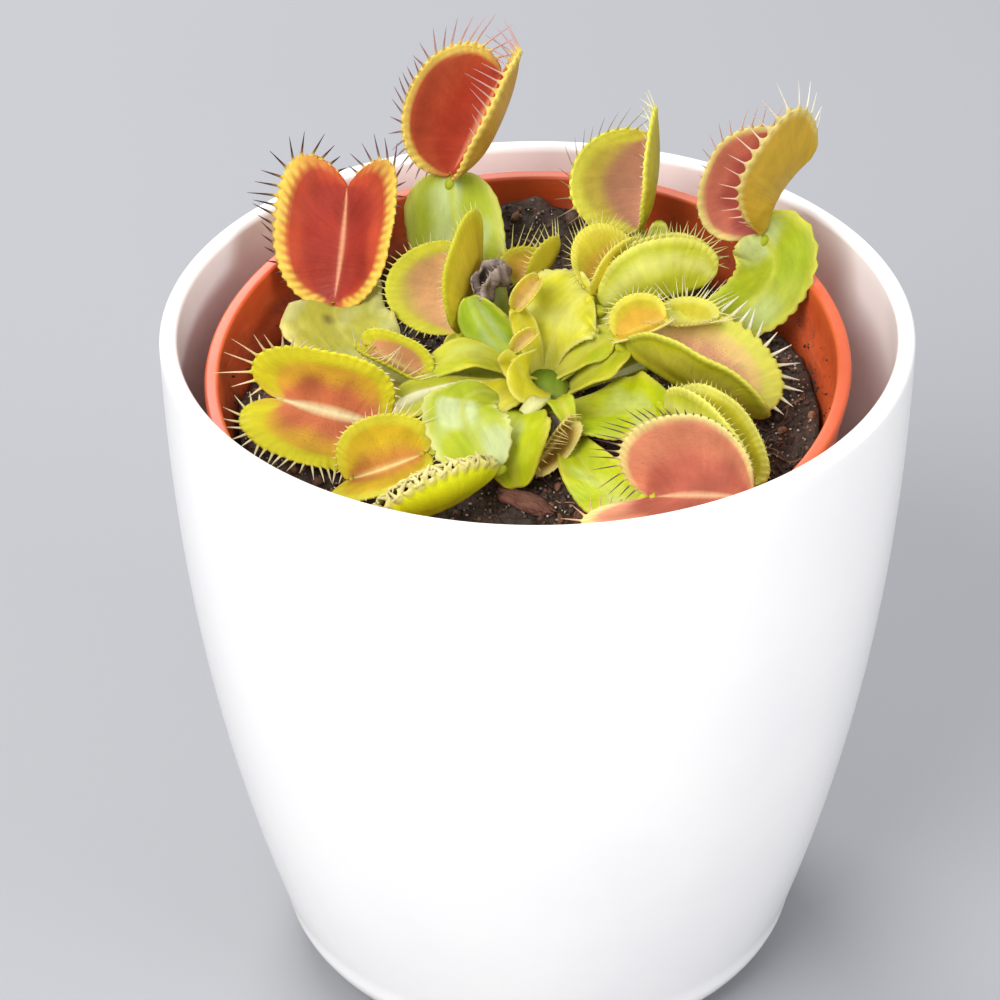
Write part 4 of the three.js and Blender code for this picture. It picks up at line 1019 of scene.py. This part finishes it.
def drill_drains(piece):
    """The round holes in the nursery pot's bottom."""
    pot = NURSERY
    drills = bmesh.new()
    for k in range(pot.drains):
        angle = (k + 0.5) * 2 * math.pi / pot.drains
        x, y = pot.drain_ring * math.cos(angle), pot.drain_ring * math.sin(angle)
        place = Matrix.Translation((x * MM, y * MM, 0))
        bmesh.ops.create_cone(drills, cap_ends=True, segments=32, radius1=pot.drain * MM,
                              radius2=pot.drain * MM, depth=pot.drill_depth * MM, matrix=place)
    mesh = bpy.data.meshes.new("drains")
    drills.to_mesh(mesh)
    drills.free()
    cutter = link(bpy.data.objects.new("drains", mesh))
    cut = piece.modifiers.new("drains", "BOOLEAN")
    cut.object, cut.operation, cut.solver = cutter, "DIFFERENCE", "EXACT"
    graph = bpy.context.evaluated_depsgraph_get()
    drilled = bpy.data.meshes.new_from_object(piece.evaluated_get(graph))
    piece.modifiers.clear()
    piece.data = drilled
    bpy.data.objects.remove(cutter)


# ---------------------------------------------------------------- the soil


def soil_height(x, y):
    height = np.full(np.shape(x), float(SOIL.level))
    for cx, cy, rise, spread in SOIL.mounds:
        height = height + rise * np.exp(-((x - cx) ** 2 + (y - cy) ** 2) / (2 * spread ** 2))
    flat = np.stack([x, y, 0 * x], -1)
    height = height + 0.55 * waves(flat, 9, 1) + 0.4 * waves(flat, 4, 2) + 0.22 * waves(flat, 1.8, 3)
    return np.minimum(height, NURSERY.height - SOIL.below_rim)


def soil():
    """The peat: a clodded top in rings, and the side down to the nursery pot's bottom."""
    radius = soil_edge(SOIL.gap) * (np.arange(1, SOIL.rings + 1) / SOIL.rings)[:, None]
    top = ring_points(radius, 0, SOIL.around)
    top[..., 2] = soil_height(top[..., 0], top[..., 1])
    heights = np.array([[60], [30], [SOIL.bottom]])
    side = ring_points(soil_edge(SOIL.gap, heights), heights, SOIL.around)
    middle = [0, 0, float(soil_height(np.array(0.0), np.array(0.0)))]
    points, quads, ends = closed_rings(np.concatenate([top, side]), middle, [0, 0, SOIL.bottom], True)
    placed = in_pot(points)
    shade = 0.75 + 0.25 * waves(placed, 7, 4)[:, None]
    pile = Pile()
    pile.add(placed, quads, linear("#46342a") * shade, caps=ends)
    settle(pile.object("soil_peat", [PEAT]), "peat", "soil")


def rock_template(subdivisions):
    ball = bmesh.new()
    bmesh.ops.create_icosphere(ball, subdivisions=subdivisions, radius=1)
    points = np.array([v.co[:] for v in ball.verts])
    faces = [tuple(v.index for v in f.verts) for f in ball.faces]
    ball.free()
    return points, faces


def scattered(random, count, reach, lift=0.0):
    """Places on the soil, in the nursery pot's space."""
    angle = random.uniform(0, 2 * math.pi, count)
    radius = reach * np.sqrt(random.uniform(0, 1, count))
    x, y = radius * np.cos(angle), radius * np.sin(angle)
    return np.stack([x, y, soil_height(x, y) + lift], -1)


def between(dark, light, share):
    return blend(linear(dark), linear(light), share)


def crumb(points, random, size, seed):
    """One rough lump at the origin."""
    stretch = random.uniform(0.6, 1.25, 3) * size
    turn = np.array(Matrix.Rotation(random.uniform(0, 6.28), 3, unit(random.normal(size=3))))
    return (points * (1 + 0.3 * waves(points, 1.6, seed)[:, None]) * stretch) @ turn.T


def crumbs():
    """Peat crumbs and clods lying on the soil."""
    random = np.random.default_rng(12)
    large, small = rock_template(2), rock_template(1)
    pile = Pile()
    for k, place in enumerate(scattered(random, SOIL.crumbs, soil_edge(1.2))):
        size = 0.25 + 0.7 * random.random() ** 3 + (random.uniform(0.4, 1.0) if k % 18 == 0 else 0)
        size += random.uniform(0.6, 1.4) if k % 54 == 0 else 0
        colour = between("#2c211b", "#80583f", random.random())
        points, faces = large if size > 0.6 else small
        lump = crumb(points, random, size, k) + place + [0, 0, size * 0.25]
        pile.add(in_pot(lump), faces, colour * random.uniform(0.5, 1.3))
    settle(pile.object("soil_crumbs", [PEAT]), "peat")


def fines():
    """The finest peat grains, which make the soil look granular."""
    random = np.random.default_rng(14)
    points, faces = rock_template(1)
    pile = Pile()
    for place in scattered(random, SOIL.fines, soil_edge(0.8)):
        size = random.uniform(0.1, 0.34)
        colour = between("#251b17", "#94705a", random.random() ** 2)
        grain = points * size * random.uniform(0.5, 1.3, 3) + place + [0, 0, size * 0.5]
        pile.add(in_pot(grain), faces, colour)
    settle(pile.object("soil_fines", [PEAT]), "peat")


def strand(pile, points, radius, tint, sides=5):
    """A tapering thread along points."""
    tangent = unit(np.gradient(points, axis=0))
    first = unit(np.cross(tangent, np.array([0.31, 0.2, 0.93])))
    second = np.cross(tangent, first)
    angle = round_angles(sides)[None, :, None]
    width = radius * (0.35 + 0.65 * np.sin(math.pi * np.linspace(0.06, 0.94, len(points))) ** 0.5)
    ring = first[:, None] * np.cos(angle) + second[:, None] * np.sin(angle)
    body, quads, ends = closed_rings(points[:, None] + ring * width[:, None, None], points[:1], points[-1:])
    pile.add(body, quads, tint, caps=ends)


def fibres():
    """Peat fibres and fine dead roots, more of them at the right."""
    random = np.random.default_rng(31)
    edge, steps = soil_edge(2), 9
    pile = Pile()
    for k in range(SOIL.fibres):
        place = scattered(random, 1, edge - 4)[0]
        if k % 3 == 0:
            place[:2] = (random.uniform(24, 36), random.uniform(-20, 12))
        length = random.uniform(2.5, 9)
        way = random.uniform(0, 2 * math.pi) + np.cumsum(random.normal(0, 0.16, steps))
        step = np.stack([np.cos(way), np.sin(way)], -1) * length / steps
        path = place[:2] + np.cumsum(step, axis=0)
        path = path * (edge / np.maximum(np.hypot(path[:, 0], path[:, 1]), edge))[:, None]
        rise = 0.25 + random.uniform(0, 0.9) * np.sin(np.linspace(0, math.pi, steps)) * (k % 4 == 0)
        line = np.column_stack([path, soil_height(path[:, 0], path[:, 1]) + rise])
        colour = between("#4a3527", "#b08d6c", random.random() ** 2)
        strand(pile, in_pot(line), random.uniform(0.07, 0.17), colour)
    settle(pile.object("soil_fibres", [PEAT]), "peat")


def grit():
    """Tiny pale grains of sand in the peat."""
    random = np.random.default_rng(77)
    points, faces = rock_template(1)
    pile = Pile()
    for place in scattered(random, SOIL.grit, soil_edge(1), 0.35):
        size = random.uniform(0.08, 0.25)
        grain = points * size * random.uniform(0.6, 1.3, 3) + place
        pile.add(in_pot(grain), faces, linear("#d9d2c4") * random.uniform(0.35, 1))
    settle(pile.object("soil_grit", [GRIT]), "peat")


def wall_crumbs():
    """Peat crumbs that stick to the nursery pot's wall above the soil, most of them at the right."""
    random = np.random.default_rng(5)
    points, faces = rock_template(1)
    pile = Pile()
    for k in range(SOIL.wall_crumbs):
        angle = math.radians(random.normal(0, 42) if k % 3 else random.uniform(0, 360))
        height = SOIL.level + 1 + abs(random.normal(0, 3.6))
        if height > NURSERY.height - 1:
            continue
        radius = soil_edge(0.1, height)
        place = np.array([radius * math.cos(angle), radius * math.sin(angle), height])
        size = 0.08 + 0.22 * random.random() ** 3
        pile.add(in_pot(points * size * random.uniform(0.6, 1.3, 3) + place), faces, linear("#3a261c"))
    settle(pile.object("wall_crumbs", [PEAT]), "peat")


# ---------------------------------------------------------------- rhizome and bark


def rhizome():
    """The crown: a smooth green knob, with low ridges around its side from the leaves' bases and a top
    darkened by painted shade.
    """
    polar = np.linspace(0.02, math.pi - 0.02, RHIZOME.rings)[:, None]
    ball = ring_points(np.sin(polar), np.cos(polar), RHIZOME.around)
    angle = round_angles(RHIZOME.around)[None, :]
    ridges = (0.08 * np.abs(np.sin(3 * angle + 4 * polar)) - 0.06) * np.sin(polar) ** 3
    size = np.array([RHIZOME.radius, RHIZOME.radius, RHIZOME.half_height])
    body = ball * size * (1 + ridges)[..., None] + np.array(RHIZOME.centre)
    # The top's darker green is painted shade, for the shadow among the leaves' bases.
    top, low = "#7f9a2a", "#a58c64"
    tint = graded(polar + 0 * angle, [(0.3, top), (1.0, "#93a338"), (1.7, "#cfcb78"), (2.4, low)])
    points, quads, ends = closed_rings(body, body[0].mean(0), body[-1].mean(0), True)
    pile = Pile()
    pile.add(points, quads, np.vstack([tint.reshape(-1, 3), linear(top), linear(low)]), caps=ends)
    settle(pile.object("rhizome_crown", [BLADE_FLESH]), "rhizome_flesh", "rhizome")


def bark_chip():
    """A split chip of bark with torn ends."""
    along = np.linspace(-0.5, 0.5, BARK.rings)[:, None]
    angle = round_angles(BARK.around)[None, :]
    torn = 0.05 * np.sin(5 * angle + 2) + 0.04 * np.sin(11 * angle)
    x = BARK.length * (along + torn * np.abs(2 * along) ** 6)
    pinch = np.clip(1 - 1.6 * along ** 2 + 0.12 * np.sin(11 * along), 0, 1)
    pinch = pinch * (1 - np.abs(2 * along) ** 10 * 0.5)
    boxy = 1 / np.maximum(np.abs(np.cos(angle)) ** 3 + np.abs(np.sin(angle)) ** 3, 0.1) ** (1 / 3)
    y = BARK.width / 2 * np.cos(angle) * pinch * boxy
    z = BARK.thick / 2 * np.sin(angle) * pinch * boxy
    body = np.stack([x, y, z + 0 * x], -1)
    body = body * (1 + 0.07 * waves(body * [0.3, 1, 1], 0.9, 8)[..., None])
    points, quads, ends = closed_rings(body, body[0].mean(0), body[-1].mean(0), True)
    placed = points @ (turned("Z", -BARK.turn) @ turned("Y", BARK.tilt)).T + np.array(BARK.centre)
    pile = Pile()
    pile.add(placed, quads, linear("#6b4033"), grain=points, caps=ends)
    settle(pile.object("bark_chip_split", [BARK_LOOK]), "bark", "bark_chip")


# ---------------------------------------------------------------- camera, light and floor


def camera():
    """The camera looks down at the rim's middle from the front, nine rim radii away."""
    elevation, lens, radii_away = math.radians(31.16), 122.04, 9
    pan, tilt, roll = -0.011, -0.0539, math.radians(-0.53)
    low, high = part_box("cachepot")
    back = Vector((0, -math.cos(elevation), math.sin(elevation)))
    place = Vector((0, 0, high.z)) + back * (radii_away * (high.x - low.x) / 2)
    right = Vector((1, 0, 0))
    forward = (-back + right * pan + right.cross(-back) * tilt).normalized()
    right = forward.cross(Vector((0, 0, 1))).normalized()
    up = right.cross(forward)
    right, up = right * math.cos(roll) + up * math.sin(roll), up * math.cos(roll) - right * math.sin(roll)
    data = bpy.data.cameras.new("camera")
    data.sensor_width, data.lens = 36, lens
    data.clip_start, data.clip_end = 0.01, 20
    made = link(bpy.data.objects.new("camera", data))
    turn = Matrix((right, up, -forward)).transposed().to_4x4()
    made.matrix_world = Matrix.Translation(place) @ turn
    bpy.context.scene.camera = made


FLOOR_HALF = 3
AIM = Vector((0, 0, 0.09))


def soft_light(name, place, size, power, colour):
    """A round lamp that faces the plant."""
    data = bpy.data.lights.new(name, "AREA")
    data.shape, data.size, data.energy, data.color = "DISK", size, power, colour
    made = link(bpy.data.objects.new(name, data))
    made.location = place
    made.rotation_mode = "QUATERNION"
    made.rotation_quaternion = (AIM - Vector(place)).to_track_quat("-Z", "Y")


def studio():
    """A pale floor under a soft sky and three lamps."""
    world = bpy.data.worlds.new("studio")
    world.use_nodes = True
    sky = world.node_tree.nodes["Background"]
    sky.inputs["Color"].default_value = (0.95, 0.97, 1, 1)
    sky.inputs["Strength"].default_value = 0.78
    bpy.context.scene.world = world
    soft_light("key", (-0.45, -0.6, 0.8), 0.6, 11, (1, 0.98, 0.95))
    soft_light("back", (-0.25, 0.65, 0.75), 0.5, 6.5, (1, 0.99, 0.97))
    soft_light("fill", (0.75, -0.5, 0.45), 0.5, 3.5, (1, 1, 1))
    bpy.context.scene.view_settings.view_transform = "Standard"
    mesh = bpy.data.meshes.new("floor")
    corners = [(-1, -1), (1, -1), (1, 1), (-1, 1)]
    mesh.from_pydata([(FLOOR_HALF * x, FLOOR_HALF * y, 0) for x, y in corners], [], [(0, 1, 2, 3)])
    mesh.materials.append(material("studio_floor", studio_grey))
    link(bpy.data.objects.new("floor", mesh))


# ---------------------------------------------------------------- building

camera()
studio()
cachepot()
nursery_pot()
soil()
crumbs()
fines()
fibres()
grit()
wall_crumbs()
rhizome()
bark_chip()
for number, (name, leaf) in enumerate(LEAVES.items(), 1):
    dead = name in DEAD
    pile = Pile()
    petiole(pile, leaf, number)
    if leaf.trap:
        hinge(pile, leaf)
        trap(pile, leaf, number)
    looks = [DRY_FLESH] * 3 if dead else [BLADE_FLESH, TRAP_FLESH, TOOTH_FLESH]
    settle(pile.object(name + "_grown", looks), "dead_leaf" if dead else "leaf_flesh", name)
